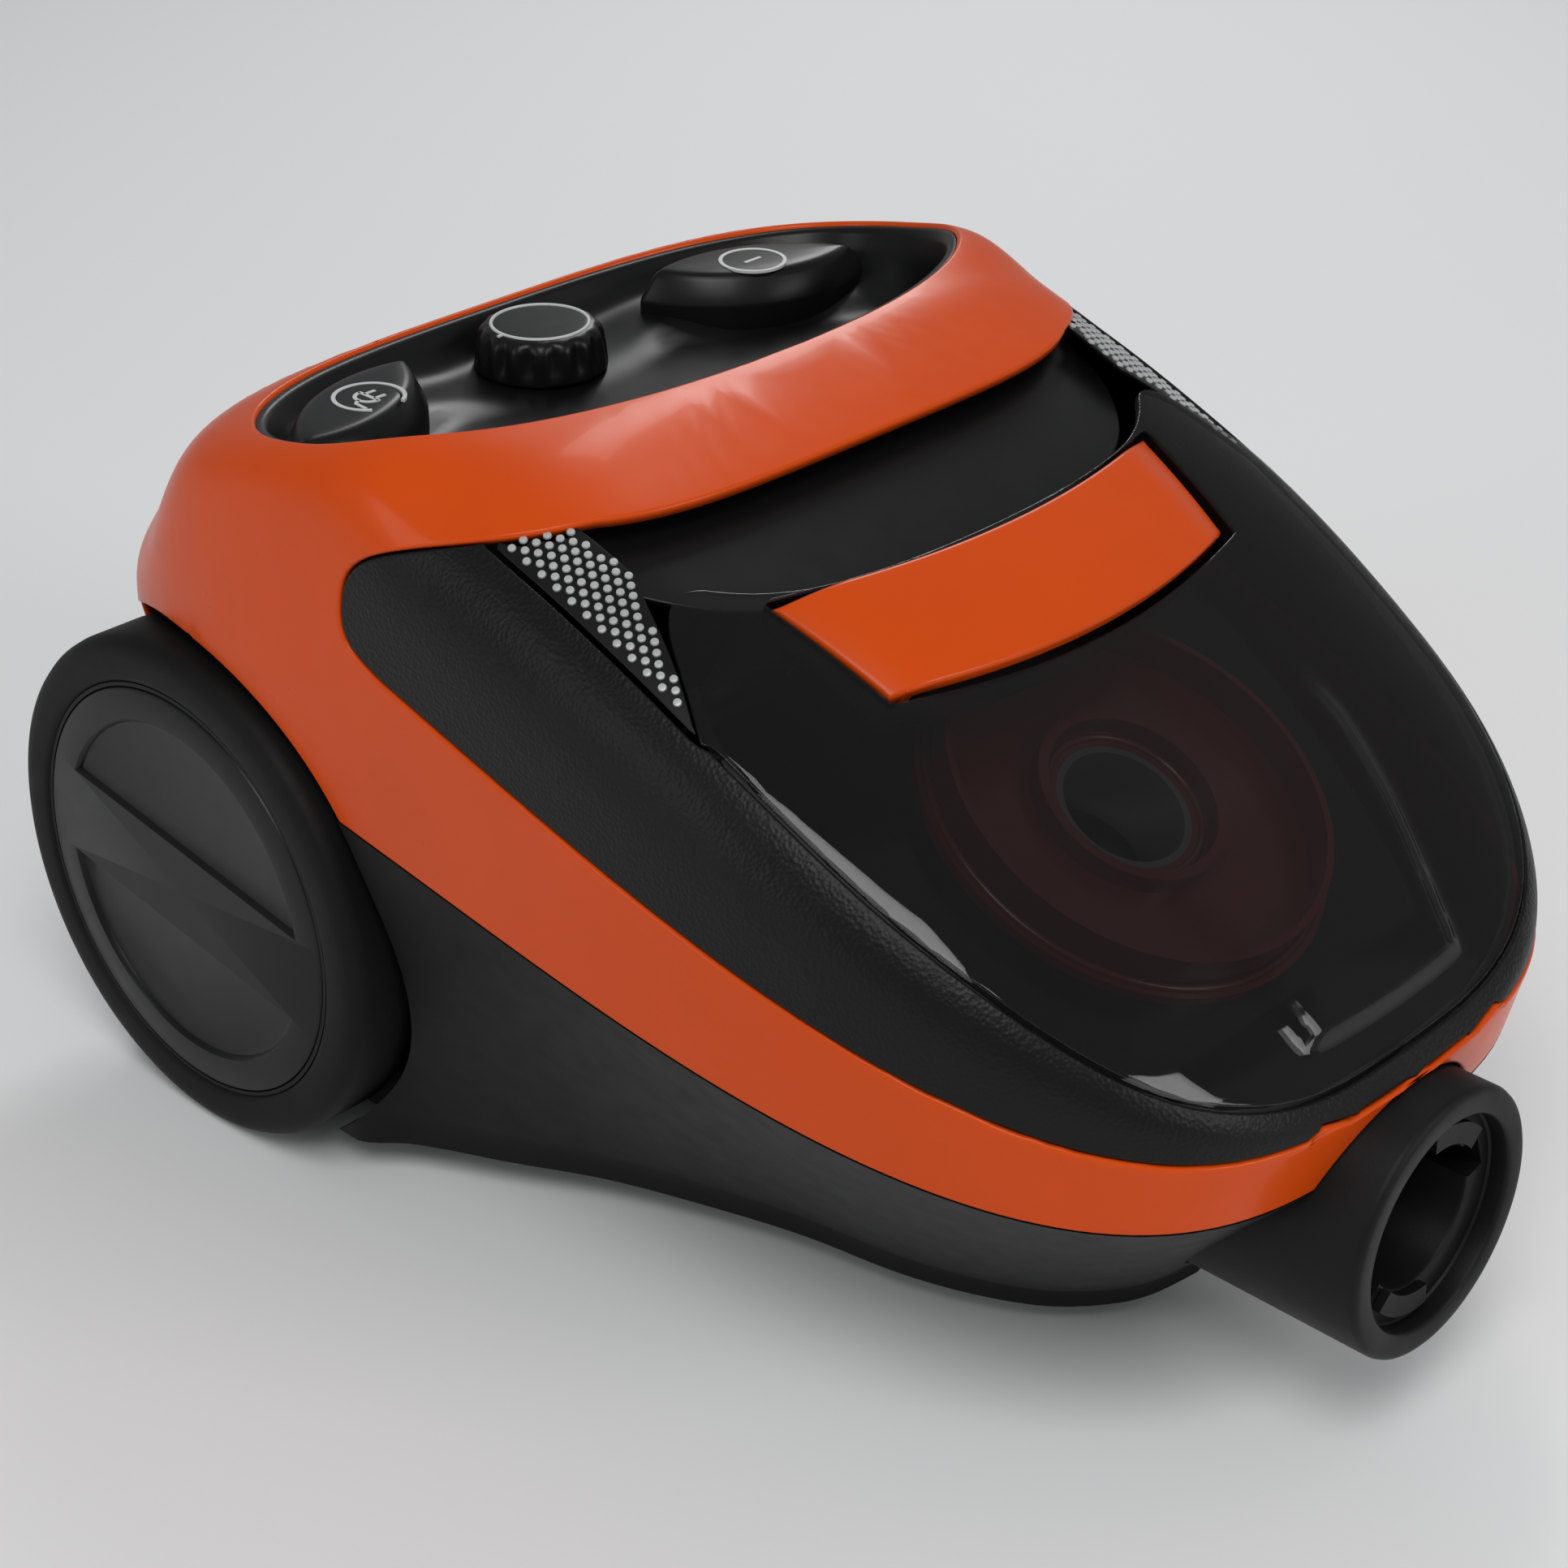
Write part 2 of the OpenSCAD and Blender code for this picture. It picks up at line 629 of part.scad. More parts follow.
// The bar across a hubcap, and how far it rises towards the rear
cap_bar = 29;
cap_turn = 9;
module hubcap(side) {
    color([0.06, 0.06, 0.06]) at_wheel(side) difference() {
        translate([0, 0, wheel_w - 4.8]) cylinder(h = 4.3, r = cap_r, $fn = 128);
        rotate([0, 0, cap_turn]) for (half = [0, 180]) rotate([0, 0, half])
            translate([0, 0, wheel_w - 2]) intersection() {
            cylinder(h = 10, r = cap_r - 10, $fn = 96);
            translate([-60, cap_bar / 2, -1]) cube([120, 60, 10]);
        }
    }
}
module wheel_axle(side) {
    color([0.7, 0.7, 0.72]) at_wheel(side) difference() {
        union() {
            translate([0, 0, -20]) cylinder(h = 39, r = axle_r, $fn = round_fn);
            translate([0, 0, -wheel_inner_x + arch_inner_x + 0.1])
                cylinder(h = arch_gap + 0.8, r = axle_r + 3, $fn = round_fn);
        }
        translate([0, 0, clip_x]) ring(axle_r + 1, axle_r - 1, clip_t + 0.1);
    }
}
module axle_clip(side) {
    color([0.5, 0.5, 0.52]) at_wheel(side) translate([0, 0, clip_x + 0.05]) difference() {
        ring(axle_r + 3.4, axle_r - 1, clip_t);
        translate([0, -2, -1]) cube([axle_r + 6, 4, 4]);
    }
}
module left_wheel() { wheel(-1); }
module right_wheel() { wheel(1); }
module left_tyre() { tyre(-1); }
module right_tyre() { tyre(1); }
module left_hubcap() { hubcap(-1); }
module right_hubcap() { hubcap(1); }
module left_axle() { wheel_axle(-1); }
module right_axle() { wheel_axle(1); }
module left_axle_clip() { axle_clip(-1); }
module right_axle_clip() { axle_clip(1); }

// --- front caster -------------------------------------------------------------------------------
fork_t = 3;
fork_plate_z = caster_well_top - shell_wall - 5;
caster_axle_r = 2.5;
module at_caster() { translate([0, caster_y, 0]) children(); }
module caster_fork() {
    arm_x = caster_w / 2 + 0.6;
    color([0.12, 0.12, 0.12]) at_caster() difference() {
        union() {
            translate([0, 0, fork_plate_z]) cylinder(h = 4.5, r = 17, $fn = round_fn);
            cylinder_from(fork_plate_z, caster_well_top + 5, swivel_r);
            both_sides() translate([arm_x, 0, 0]) along_x() linear_extrude(fork_t) union() {
                polygon([[-10, fork_plate_z + 2], [10, fork_plate_z + 2], [caster_trail + 5, caster_r],
                    [caster_trail - 5, caster_r]]);
                translate([caster_trail, caster_r]) circle(r = 6, $fn = small_fn);
            }
        }
        translate([-40, caster_trail, caster_r]) along_x()
            cylinder(h = 80, r = caster_axle_r, $fn = round_fn);
        translate([0, 0, caster_well_top + 1.5]) ring(swivel_r + 1, swivel_r - 1, 1);
    }
}
module cylinder_from(z0, z1, radius)
    { translate([0, 0, z0]) cylinder(h = z1 - z0, r = radius, $fn = round_fn); }
module caster_wheel() {
    color([0.2, 0.2, 0.2]) at_caster() translate([-caster_w / 2, caster_trail, caster_r]) along_x()
        difference() {
        cylinder(h = caster_w, r = caster_r, $fn = 96);
        translate([0, 0, -1]) cylinder(h = caster_w + 2, r = caster_axle_r + bush_gap, $fn = round_fn);
        for (z = [-1, caster_w - 2]) translate([0, 0, z]) ring(caster_r - 3, caster_axle_r + 3, 3);
    }
}
module caster_axle() {
    half = caster_w / 2 + fork_t + 1.2;
    color([0.7, 0.7, 0.72]) at_caster() translate([-half, caster_trail, caster_r]) along_x() union() {
        cylinder(h = 2 * half, r = caster_axle_r, $fn = round_fn);
        for (z = [-0.4, 2 * half - 0.6]) translate([0, 0, z])
            cylinder(h = 1, r = caster_axle_r + 1.5, $fn = round_fn);
    }
}

// --- dust bin -------------------------------------------------------------------------------------
cover_t = 2.2;
seal_gap = 0.8;
tray_inset = cover_t + seal_gap;
pocket_w = tray_w + 22;
handle_front_v = 14.3;
handle_rear_v = 52;
handle_front_x = 69;
handle_rear_x = 76;
handle_top_w = 223.2;
handle_arc_r = 560;
pivot_v = 27;
pivot_w = 210;
pin_r = 2;

module above_tray(lift) {
    translate([-far / 2, -far / 2, tray_z + lift]) cube(far);
}
module bin_cup() {
    color([0.25, 0.22, 0.22, 0.6]) difference() {
        union() {
            intersection() {
                bin_prism(shell_gap, tray_w);
                body_solid(tray_inset);
                above_tray(0);
            }
            bin_frame() translate([0, cup_v, cup_w])
                cylinder(h = tray_w - cup_w + 1, r = cup_r, $fn = 96);
        }
        intersection() {
            bin_prism(shell_gap + bin_wall, tray_w + bin_wall);
            above_tray(bin_wall);
        }
        bin_frame() translate([0, cup_v, cup_w + bin_wall])
            cylinder(h = 200, r = cup_r - bin_wall, $fn = 96);
        bin_frame() translate([0, cup_front_v - 5, inlet_w]) along_y()
            cylinder(h = 30, r = inlet_r, $fn = round_fn);
        bin_frame() translate([-far / 2, bin_rear_v - 1.6, 0]) cube(far);
        outlet_slot(bin_rear_v - 20, 40, 0);
        pocket_space(2.6, pocket_w - 0.4);
    }
    color([0.25, 0.22, 0.22, 0.6]) bin_rear_wall();
}
// Flat wall across the back of the tray
module bin_rear_wall() {
    difference() {
        intersection() {
            bin_frame() translate([-98, bin_rear_v - 1.6 - bin_wall, tray_w])
                cube([196, bin_wall, pocket_w - tray_w - 2]);
            body_solid(tray_inset);
        }
        outlet_slot(bin_rear_v - 20, 40, 0);
    }
}
function handle_outline(grow) = concat(
    [for (i = [-4 : 4]) let (u = i / 4) [u * (handle_front_x + grow),
        handle_front_v + 9.7 * u * u - grow]],
    [for (i = [4 : -1 : -4]) let (u = i / 4) [u * (handle_rear_x + grow),
        handle_rear_v + 10 * u * u + grow]]);
module handle_prism(grow, w) {
    bin_frame() translate([0, 0, w]) linear_extrude(far / 3) polygon(handle_outline(grow));
}
module pocket_space(grow, w) {
    handle_prism(grow, w);
}
module bin_cover() {
    color([0.2, 0.15, 0.15, 0.55]) difference() {
        union() {
            intersection() {
                body_shell(0, cover_t);
                bin_prism(shell_gap, 0);
            }
            intersection() {
                body_solid(cover_t / 2);
                bin_prism(shell_gap, 0);
                handle_prism(2 + 2, pocket_w);
            }
        }
        difference() {
            handle_prism(2, pocket_w + 2);
            bin_frame() both_sides() translate([65, pivot_v - 5, pocket_w])
                cube([4, 10, pivot_w - pocket_w + 3]);
        }
        bin_frame() translate([-55, handle_rear_v - 6, pocket_w + 3]) cube([110, 30, 60]);
        bin_frame() translate([-100, pivot_v, pivot_w]) along_x()
            cylinder(h = 200, r = pin_r + bush_gap, $fn = small_fn);
    }
}
module cover_gasket() {
    color([0.12, 0.12, 0.12]) difference() {
        intersection() {
            body_shell(cover_t + 0.1, seal_gap - 0.2);
            bin_prism(shell_gap + 0.2, tray_w);
            above_tray(1);
            bin_frame() translate([-far / 2, -far / 2, 0]) cube([far, far / 2 + bin_side_v - 4, far]);
        }
        bin_prism(shell_gap + bin_wall - 0.2, 0);
        handle_prism(4.4, 100);
    }
}
module bin_handle() {
    color([0.8, 0.22, 0.03]) difference() {
        union() {
            intersection() {
                handle_prism(0, pocket_w);
                bin_frame() translate([0, -50, handle_top_w - handle_arc_r]) along_y()
                    ring(handle_arc_r, handle_arc_r - handle_t, 200, 128);
            }
            bin_frame() both_sides() translate([60.6, pivot_v - 4, pivot_w - 4])
                cube([4, 12, handle_top_w - pivot_w - 1.5]);
        }
        bin_frame() translate([-100, pivot_v, pivot_w]) along_x()
            cylinder(h = 200, r = pin_r, $fn = small_fn);
    }
}
module handle_pins() {
    color([0.7, 0.7, 0.72]) bin_frame() both_sides() translate([60, pivot_v, pivot_w]) along_x()
        cylinder(h = 10.5, r = pin_r, $fn = small_fn);
}

// --- cyclone --------------------------------------------------------------------------------------
lid_w = tray_w + bin_wall + 0.4;
lid_t = 3;
lid_r = cup_r - bin_wall - 0.6;
shroud_r = 34;
shroud_w = cup_w + 45;
module at_cup(w) { bin_frame() translate([0, cup_v, w]) children(); }
module cyclone_lid() {
    color([0.35, 0.05, 0.03]) at_cup(lid_w) union() {
        ring(lid_r + 4, outlet_r, lid_t, 96);
        ring(lid_r, lid_r - 2, 14, 96);
        ring(outlet_r + 8, outlet_r + 5, 9);
    }
}
module cyclone_tube() {
    color([0.15, 0.15, 0.15]) at_cup(shroud_w + 8)
        ring(outlet_r, outlet_r - 2, lid_w + lid_t - shroud_w - 8);
}
module cyclone_shroud() {
    height = lid_w - shroud_w;
    color([0.4, 0.4, 0.42]) at_cup(shroud_w) difference() {
        ring(shroud_r, shroud_r - 1.6, height);
        for (a = [0 : 20 : 340]) rotate([0, 0, a])
            translate([shroud_r - 5, -1.8, 5]) cube([10, 3.6, height - 10]);
    }
}
module cyclone_cone() {
    color([0.2, 0.2, 0.2]) at_cup(cup_w + bin_wall + 3) difference() {
        cylinder(h = shroud_w - cup_w - bin_wall - 3, r1 = 12, r2 = shroud_r, $fn = round_fn);
        translate([0, 0, -tiny])
            cylinder(h = shroud_w - cup_w - bin_wall - 3 + 2 * tiny, r1 = 10, r2 = shroud_r - 2,
                $fn = round_fn);
    }
}

// --- controls ---------------------------------------------------------------------------------------
board_z = panel_floor_z - 22;
board_t = 1.6;
button_top = panel_floor_z + 19;
flange_t = 2;
stem_r = 3;
power_x = button_x;
rewind_x = -button_x;
switch_h = 13;
knob_bore_r = 3;

module suction_knob() {
    color([0.05, 0.05, 0.05]) translate([0, knob_y, knob_z]) difference() {
        cylinder(h = knob_h, r = knob_r, $fn = 96);
        for (a = [0 : 24 : 359]) rotate([0, 0, a]) translate([knob_r + 2.2, 0, -1])
            cylinder(h = knob_h - 3, r = 3.4, $fn = small_fn);
        translate([0, 0, -1]) cylinder(h = 8, r = knob_bore_r, $fn = small_fn);
        translate([0, 0, -1]) ring(knob_r - 5, knob_bore_r + 3, 7);
        translate([0, 0, knob_h - 0.6]) ring(knob_r * 0.75, knob_r * 0.68, 1);
    }
}
module knob_ring() {
    color([0.9, 0.9, 0.9]) translate([0, knob_y, knob_z + knob_h - 0.6])
        ring(knob_r * 0.75, knob_r * 0.68, 0.8, round_fn);
}
module potentiometer() {
    color([0.3, 0.35, 0.4]) translate([0, knob_y, board_z + board_t]) union() {
        translate([-11, -11, 0]) cube([22, 22, 9]);
        cylinder(h = 13, r = 4.5, $fn = small_fn);
        cylinder(h = knob_z + 7 - board_z - board_t, r = knob_bore_r - bush_gap, $fn = small_fn);
    }
}
module push_button(x, stem_z) {
    translate([x, button_y, 0]) union() {
        rotate([0, 0, -sign(x) * button_turn]) difference() {
            union() {
                translate([0, 0, panel_floor_z - 3])
                    boat(button_len, button_w, button_top - panel_floor_z + 3);
                translate([0, 0, panel_floor_z - flange_t - 0.3])
                    boat(button_len + 4, button_w + 4, flange_t);
            }
            translate([0, 0, panel_floor_z - 10])
                boat(button_len - 8, button_w - 5, button_top - panel_floor_z + 7);
        }
        translate([-stem_r, -1, button_top - 8]) cube([2 * stem_r, 2, 7]);
        translate([0, 0, stem_z]) cylinder(h = button_top - 1 - stem_z, r = stem_r, $fn = small_fn);
    }
}
module coil(x, z0, z1, turns) {
    pitch = (z1 - z0 - 1.2) / turns;
    translate([x, button_y, z0 + 0.6]) for (k = [0 : turns])
        translate([0, 0, k * pitch]) rotate_extrude($fn = round_fn) translate([stem_r + 2, 0])
            circle(r = 0.6, $fn = 16);
}
module power_button()
    { color([0.05, 0.05, 0.05]) push_button(power_x, board_z + board_t + switch_h + 6); }
module rewind_button()
    { color([0.05, 0.05, 0.05]) push_button(rewind_x, lever_top_z + 0.9); }
module power_spring() {
    color([0.7, 0.7, 0.7]) coil(power_x, board_z + board_t + switch_h, button_top - 3, 6);
}
module rewind_spring() { color([0.7, 0.7, 0.7]) coil(rewind_x, board_z + board_t, button_top - 3, 10); }
module power_switch() {
    color([0.15, 0.15, 0.15]) translate([power_x, button_y, board_z + board_t]) union() {
        translate([-11, -8, 0]) cube([22, 16, switch_h]);
        translate([0, 0, switch_h]) cylinder(h = 2.2, r = 2.4, $fn = small_fn);
    }
}
module circuit_board() {
    color([0.05, 0.35, 0.15]) translate([0, button_y, board_z]) union() {
        difference() {
            translate([-92, -16, 0]) cube([184, 34, board_t]);
            translate([rewind_x, 0, -1]) cylinder(h = 4, r = stem_r + 0.6, $fn = small_fn);
        }
        translate([26, -10, board_t]) cube([16, 14, 11]);
        translate([-30, -4, board_t]) cylinder(h = 12, r = 6, $fn = small_fn);
        translate([-50, -10, board_t]) cube([9, 18, 6]);
    }
}

// --- motor ---------------------------------------------------------------------------------------------
motor_x = 27;
motor_y = 68;
motor_z = 92;
bearing_r = 9;
front_bridge = 24;
rear_bridge = motor_len - 16;
bridge_t = 5;
core_r = 23;
core_y = 34;
core_len = 42;
module at_motor(y) { translate([motor_x, motor_y + y, motor_z]) along_y() children(); }
module bridge(y) {
    at_motor(y) difference() {
        cylinder(h = bridge_t, r = motor_r - 2, $fn = 96);
        translate([0, 0, -1]) cylinder(h = bridge_t + 2, r = bearing_r, $fn = round_fn);
        for (a = [0 : 60 : 300]) rotate([0, 0, a]) translate([34, 0, -1])
            cylinder(h = bridge_t + 2, r = 11, $fn = small_fn);
    }
}
module motor_housing() {
    color([0.35, 0.35, 0.37]) union() {
        at_motor(0) ring(motor_r, motor_r - 3, motor_len, 96);
        bridge(front_bridge);
        bridge(rear_bridge);
    }
}
module motor_end_cap() {
    color([0.6, 0.6, 0.62]) at_motor(-3) union() {
        ring(motor_r, 19, 3, 96);
        ring(23, 19, 8);
    }
}
module motor_stator() {
    color([0.55, 0.35, 0.2]) union() {
        at_motor(core_y) ring(motor_r - 3, core_r + 2, core_len, 96);
        for (y = [core_y - 5, core_y + core_len]) at_motor(y) ring(46, core_r + 5, 5);
    }
}
module rotor() {
    color([0.6, 0.6, 0.63]) union() {
        at_motor(3) cylinder(h = motor_len - 8, r = shaft_r, $fn = round_fn);
        at_motor(core_y) cylinder(h = core_len, r = core_r, $fn = 96);
        at_motor(core_y + core_len + 6) cylinder(h = 12, r = 13, $fn = round_fn);
    }
}
module fan_impeller() {
    color([0.75, 0.75, 0.78]) at_motor(6) difference() {
        union() {
            translate([0, 0, 12]) cylinder(h = 1.5, r = 50, $fn = 96);
            ring(50, 22, 1.5, 96);
            cylinder(h = 13, r = 9, $fn = round_fn);
            for (a = [0 : 40 : 320]) rotate([0, 0, a]) intersection() {
                translate([14, 0, 1]) rotate([0, 0, 28]) cube([40, 1.4, 11.5]);
                cylinder(h = 20, r = 49.5, $fn = 96);
            }
        }
        translate([0, 0, -1]) cylinder(h = 20, r = shaft_r, $fn = round_fn);
    }
}
module motor_bearings() {
    color([0.8, 0.8, 0.82]) for (y = [front_bridge, rear_bridge]) at_motor(y)
        ring(bearing_r, shaft_r + 0.03, bridge_t);
}
module motor_mounts() {
    color([0.1, 0.1, 0.1]) for (y = [8, motor_len - 18]) at_motor(y) difference() {
        union() {
            cylinder(h = 10, r = motor_r + 4, $fn = 96);
            translate([-26, motor_r - 16, 0])
                cube([52, motor_z - floor_z - shell_wall - motor_r + 15.6, 10]);
        }
        translate([0, 0, -1]) cylinder(h = 12, r = motor_r, $fn = 96);
    }
}

// --- cord reel --------------------------------------------------------------------------------------------
reel_x = -46;
reel_y = 118;
reel_z = 100;
flange_reel_t = 3;
reel_axle_r = 5;
reel_len = reel_w + 2 * flange_reel_t;
plate_x = reel_x + 4.4;
plate_t = 2.6;
lever_y = 130;
lever_z = reel_z + reel_r + 10;
lever_pin_r = 2.5;
lever_t = 4;
lever_top_z = lever_z + lever_t / 2;
shoe_y = 152;
module at_reel(x) { translate([x, reel_y, reel_z]) along_x() children(); }
module reel_frame() {
    color([0.5, 0.5, 0.52]) union() {
        translate([plate_x, reel_y - 40, floor_z + shell_wall + 0.4])
            cube([plate_t, 80, lever_z - floor_z - shell_wall + 6]);
        translate([plate_x - 14, reel_y - 40, floor_z + shell_wall + 0.4]) cube([14 + tiny, 80, 3]);
        at_reel(reel_x - reel_len - 3)
            cylinder(h = plate_x - reel_x + reel_len + 3 + tiny, r = reel_axle_r, $fn = round_fn);
        translate([reel_x - 8, lever_y, lever_z]) along_x()
            cylinder(h = plate_x - reel_x + 8 + tiny, r = lever_pin_r, $fn = small_fn);
    }
}
module reel_drum() {
    color([0.85, 0.85, 0.82]) at_reel(reel_x - reel_len) difference() {
        union() {
            for (x = [0, reel_len - flange_reel_t]) translate([0, 0, x])
                cylinder(h = flange_reel_t, r = reel_r, $fn = 96);
            cylinder(h = reel_len, r = drum_r, $fn = 96);
        }
        translate([0, 0, -1]) cylinder(h = reel_len + 2, r = reel_axle_r + bush_gap, $fn = round_fn);
        translate([0, 0, flange_reel_t]) ring(drum_r - 3, reel_axle_r + 4, reel_len);
    }
}
module reel_spring_case() {
    color([0.3, 0.3, 0.3]) at_reel(reel_x + 0.6) ring(42, reel_axle_r, plate_x - reel_x - 0.6);
}
module brake_lever() {
    color([0.3, 0.3, 0.32]) difference() {
        union() {
            translate([reel_x - 6, button_y - 6, lever_z - lever_t / 2])
                cube([5.5, lever_y - button_y + 10, lever_t]);
            translate([rewind_x - 6, button_y - 6, lever_z - lever_t / 2])
                cube([reel_x - rewind_x + 4, 12, lever_t]);
            translate([reel_x - 6, lever_y, lever_z]) along_x()
                cylinder(h = 5.5, r = 6, $fn = round_fn);
            translate([reel_x - 5.8, lever_y - 3, lever_z - 0.4]) rotate([-27, 0, 0])
                cube([5.1, shoe_y - lever_y + 3, 3.6]);
        }
        translate([reel_x - 20, lever_y, lever_z]) along_x()
            cylinder(h = 40, r = lever_pin_r + bush_gap, $fn = small_fn);
    }
}
module brake_shoe() {
    color([0.1, 0.1, 0.1]) difference() {
        translate([reel_x - 6, shoe_y - 6, reel_z + 58]) cube([5.5, 12, 13]);
        at_reel(reel_x - 20) cylinder(h = 40, r = reel_r + 0.4, $fn = 96);
        translate([reel_x - 10, lever_y, lever_z - 2]) rotate([-27, 0, 0]) cube([20, 60, 40]);
    }
}

// --- rear end and fasteners ------------------------------------------------------------------------------------
module exhaust_filter() {
    color([0.85, 0.87, 0.85]) translate([-hatch_half_x + 4, exhaust_y - 1, hatch_z0 + 4]) difference() {
        cube([2 * hatch_half_x - 8, 13, hatch_z1 - hatch_z0 - 8]);
        for (x = [6 : 8 : 2 * hatch_half_x - 14]) translate([x, -1, 4])
            cube([3, 10, hatch_z1 - hatch_z0 - 16]);
    }
}
bush_x = -76;
bush_z = 122;
bush_r = 8;
cord_hole_r = 4.5;
bush_len = 25;
bush_back = 34;
module cord_bush() {
    color([0.04, 0.04, 0.04]) translate([bush_x, tail_y - bush_back, bush_z]) along_y() union() {
        ring(bush_r, cord_hole_r, bush_len);
        ring(bush_r + 3, cord_hole_r, 3);
    }
}
module screws() {
    color([0.6, 0.6, 0.62]) union() {
        for (p = screw_places) translate([p[0], p[1], floor_z - 1.8]) union() {
            cylinder(h = 24, r = screw_r - 0.1, $fn = small_fn);
            cylinder(h = 1.8, r = screw_r * 1.9, $fn = small_fn);
        }
        for (x = [-20, 20]) translate([x, panel_y - 40, panel_floor_z - 8]) union() {
            cylinder(h = 8 + panel_wall, r = screw_r - 0.1, $fn = small_fn);
            translate([0, 0, 8 + panel_wall]) cylinder(h = 1.6, r = screw_r * 1.9, $fn = small_fn);
        }
    }
}

base_shell();
upper_shell();
side_cover();
neck_cover();
control_panel();
left_grille();
right_grille();
inlet_port();
inlet_seal();
bulkhead();
outlet_seal();
filter_frame();
foam_filter();
left_wheel();
left_tyre();
left_hubcap();
left_axle();
left_axle_clip();
right_wheel();
right_tyre();
right_hubcap();
right_axle();
right_axle_clip();
caster_fork();
caster_wheel();
caster_axle();
bin_cup();
bin_cover();
cover_gasket();
bin_handle();
handle_pins();
cyclone_lid();
cyclone_tube();
cyclone_shroud();
cyclone_cone();
suction_knob();
knob_ring();
potentiometer();
power_button();
power_spring();
power_switch();
rewind_button();
rewind_spring();
circuit_board();
motor_housing();
motor_end_cap();
motor_stator();
rotor();
fan_impeller();
motor_bearings();
motor_mounts();
reel_frame();
reel_drum();
reel_spring_case();
brake_lever();
brake_shoe();
exhaust_cover();
exhaust_filter();
cord_bush();
screws();
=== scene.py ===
import bpy
import bmesh
import json
import math
import numpy as np
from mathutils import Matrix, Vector
from mathutils.geometry import delaunay_2d_cdt


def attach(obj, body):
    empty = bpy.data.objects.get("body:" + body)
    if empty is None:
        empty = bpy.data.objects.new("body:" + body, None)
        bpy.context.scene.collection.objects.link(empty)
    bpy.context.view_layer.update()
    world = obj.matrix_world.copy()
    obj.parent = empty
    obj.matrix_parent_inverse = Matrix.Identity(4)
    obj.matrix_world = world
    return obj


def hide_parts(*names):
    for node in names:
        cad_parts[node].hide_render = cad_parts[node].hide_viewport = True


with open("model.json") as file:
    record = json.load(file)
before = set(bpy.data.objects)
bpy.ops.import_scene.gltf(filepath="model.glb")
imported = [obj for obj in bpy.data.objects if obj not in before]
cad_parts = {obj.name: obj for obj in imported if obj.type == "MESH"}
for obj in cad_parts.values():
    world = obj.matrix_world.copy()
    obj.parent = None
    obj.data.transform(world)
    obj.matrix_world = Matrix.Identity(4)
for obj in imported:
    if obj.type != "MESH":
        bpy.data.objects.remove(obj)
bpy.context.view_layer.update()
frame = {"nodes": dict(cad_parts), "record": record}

MM = 0.001

# ---------------------------------------------------------------- camera
camera = bpy.data.objects.new("camera", bpy.data.cameras.new("camera"))
bpy.context.scene.collection.objects.link(camera)
camera.location = (-0.6045, -0.5615, 0.5712)
camera.rotation_euler = (math.radians(90 - 29.03), 0, math.radians(-46.33))
camera.data.sensor_width = 36
camera.data.lens = 73.93
camera.data.clip_start = 0.01
bpy.context.scene.camera = camera
bpy.context.scene.view_settings.view_transform = "Standard"

# ---------------------------------------------------------------- body form, millimetres
HALF_W, NOSE, TAIL, ROOF = 131.0, -208.0, 221.0, 246.0
FRONT_Y, REAR_Y, CENTRE_Y = 23.0, 73.0, 48.0
BAND_TOP, BAND_RISE, BAND_LOW, LOW_RISE = 107.6, 0.3, 86.0, 0.155
NOSE_P, TAIL_P, SHOULDER_REAR_Z = 3.2, 2.75, 142.0
DRAFT = 2.5
LOW_END = 136.0
FALL_Y = NOSE + 351
VISOR_Z = ROOF - 14.5
TILT = math.radians(30)
GAP = 0.6
PORT_R, PORT_Z, PORT_MOUTH = 39.0, 67.0, NOSE - 12
AXLE_Y, AXLE_Z, ARCH_R, ARCH_X = 133.0, 80.0, 84.0, 106.0
PANEL_Y, PANEL_X, PANEL_HY, PANEL_P = 80.0, 121.0, 62.0, 2.4
PANEL_Z = ROOF - 36
FLOOR = 12.0


def pchip(xs, ys):
    """A smooth curve through a table, without overshoot."""
    xs, ys = np.asarray(xs, float), np.asarray(ys, float)
    h = np.diff(xs)
    d = np.diff(ys) / h
    m = np.zeros_like(xs)
    for k in range(1, len(xs) - 1):
        if d[k - 1] * d[k] > 0:
            w1, w2 = 2 * h[k] + h[k - 1], h[k] + 2 * h[k - 1]
            m[k] = (w1 + w2) / (w1 / d[k - 1] + w2 / d[k])
    m[0], m[-1] = d[0] * 1.3, d[-1]

    def at(x):
        x = np.clip(np.asarray(x, float), xs[0], xs[-1])
        i = np.clip(np.searchsorted(xs, x) - 1, 0, len(xs) - 2)
        t = (x - xs[i]) / h[i]
        return ((1 + 2 * t) * (1 - t) ** 2 * ys[i] + t * (1 - t) ** 2 * h[i] * m[i]
                + t * t * (3 - 2 * t) * ys[i + 1] + t * t * (t - 1) * h[i] * m[i + 1])
    return at


def arc_part(t, p):
    return np.power(1 - np.power(np.clip(t, 0, 1), p), 1 / p)


def smoothed(values, sigma, step):
    n = int(4 * sigma / step)
    k = np.exp(-0.5 * (np.arange(-n, n + 1) * step / sigma) ** 2)
    padded = np.concatenate([2 * values[0] - values[n:0:-1], values, 2 * values[-1] - values[-2:-n - 2:-1]])
    return np.convolve(padded, k / k.sum(), "valid")


STEP = 0.5
YS = np.arange(NOSE - 60, TAIL + 60 + STEP, STEP)
rise = pchip([0, 7, 21, 51, 91, 131, 165, 201, 227, 251, 289, 351],
             [0, 0.09, 0.2, 0.385, 0.56, 0.72, 0.83, 0.93, 0.985, 1, 0.94, 0.86])


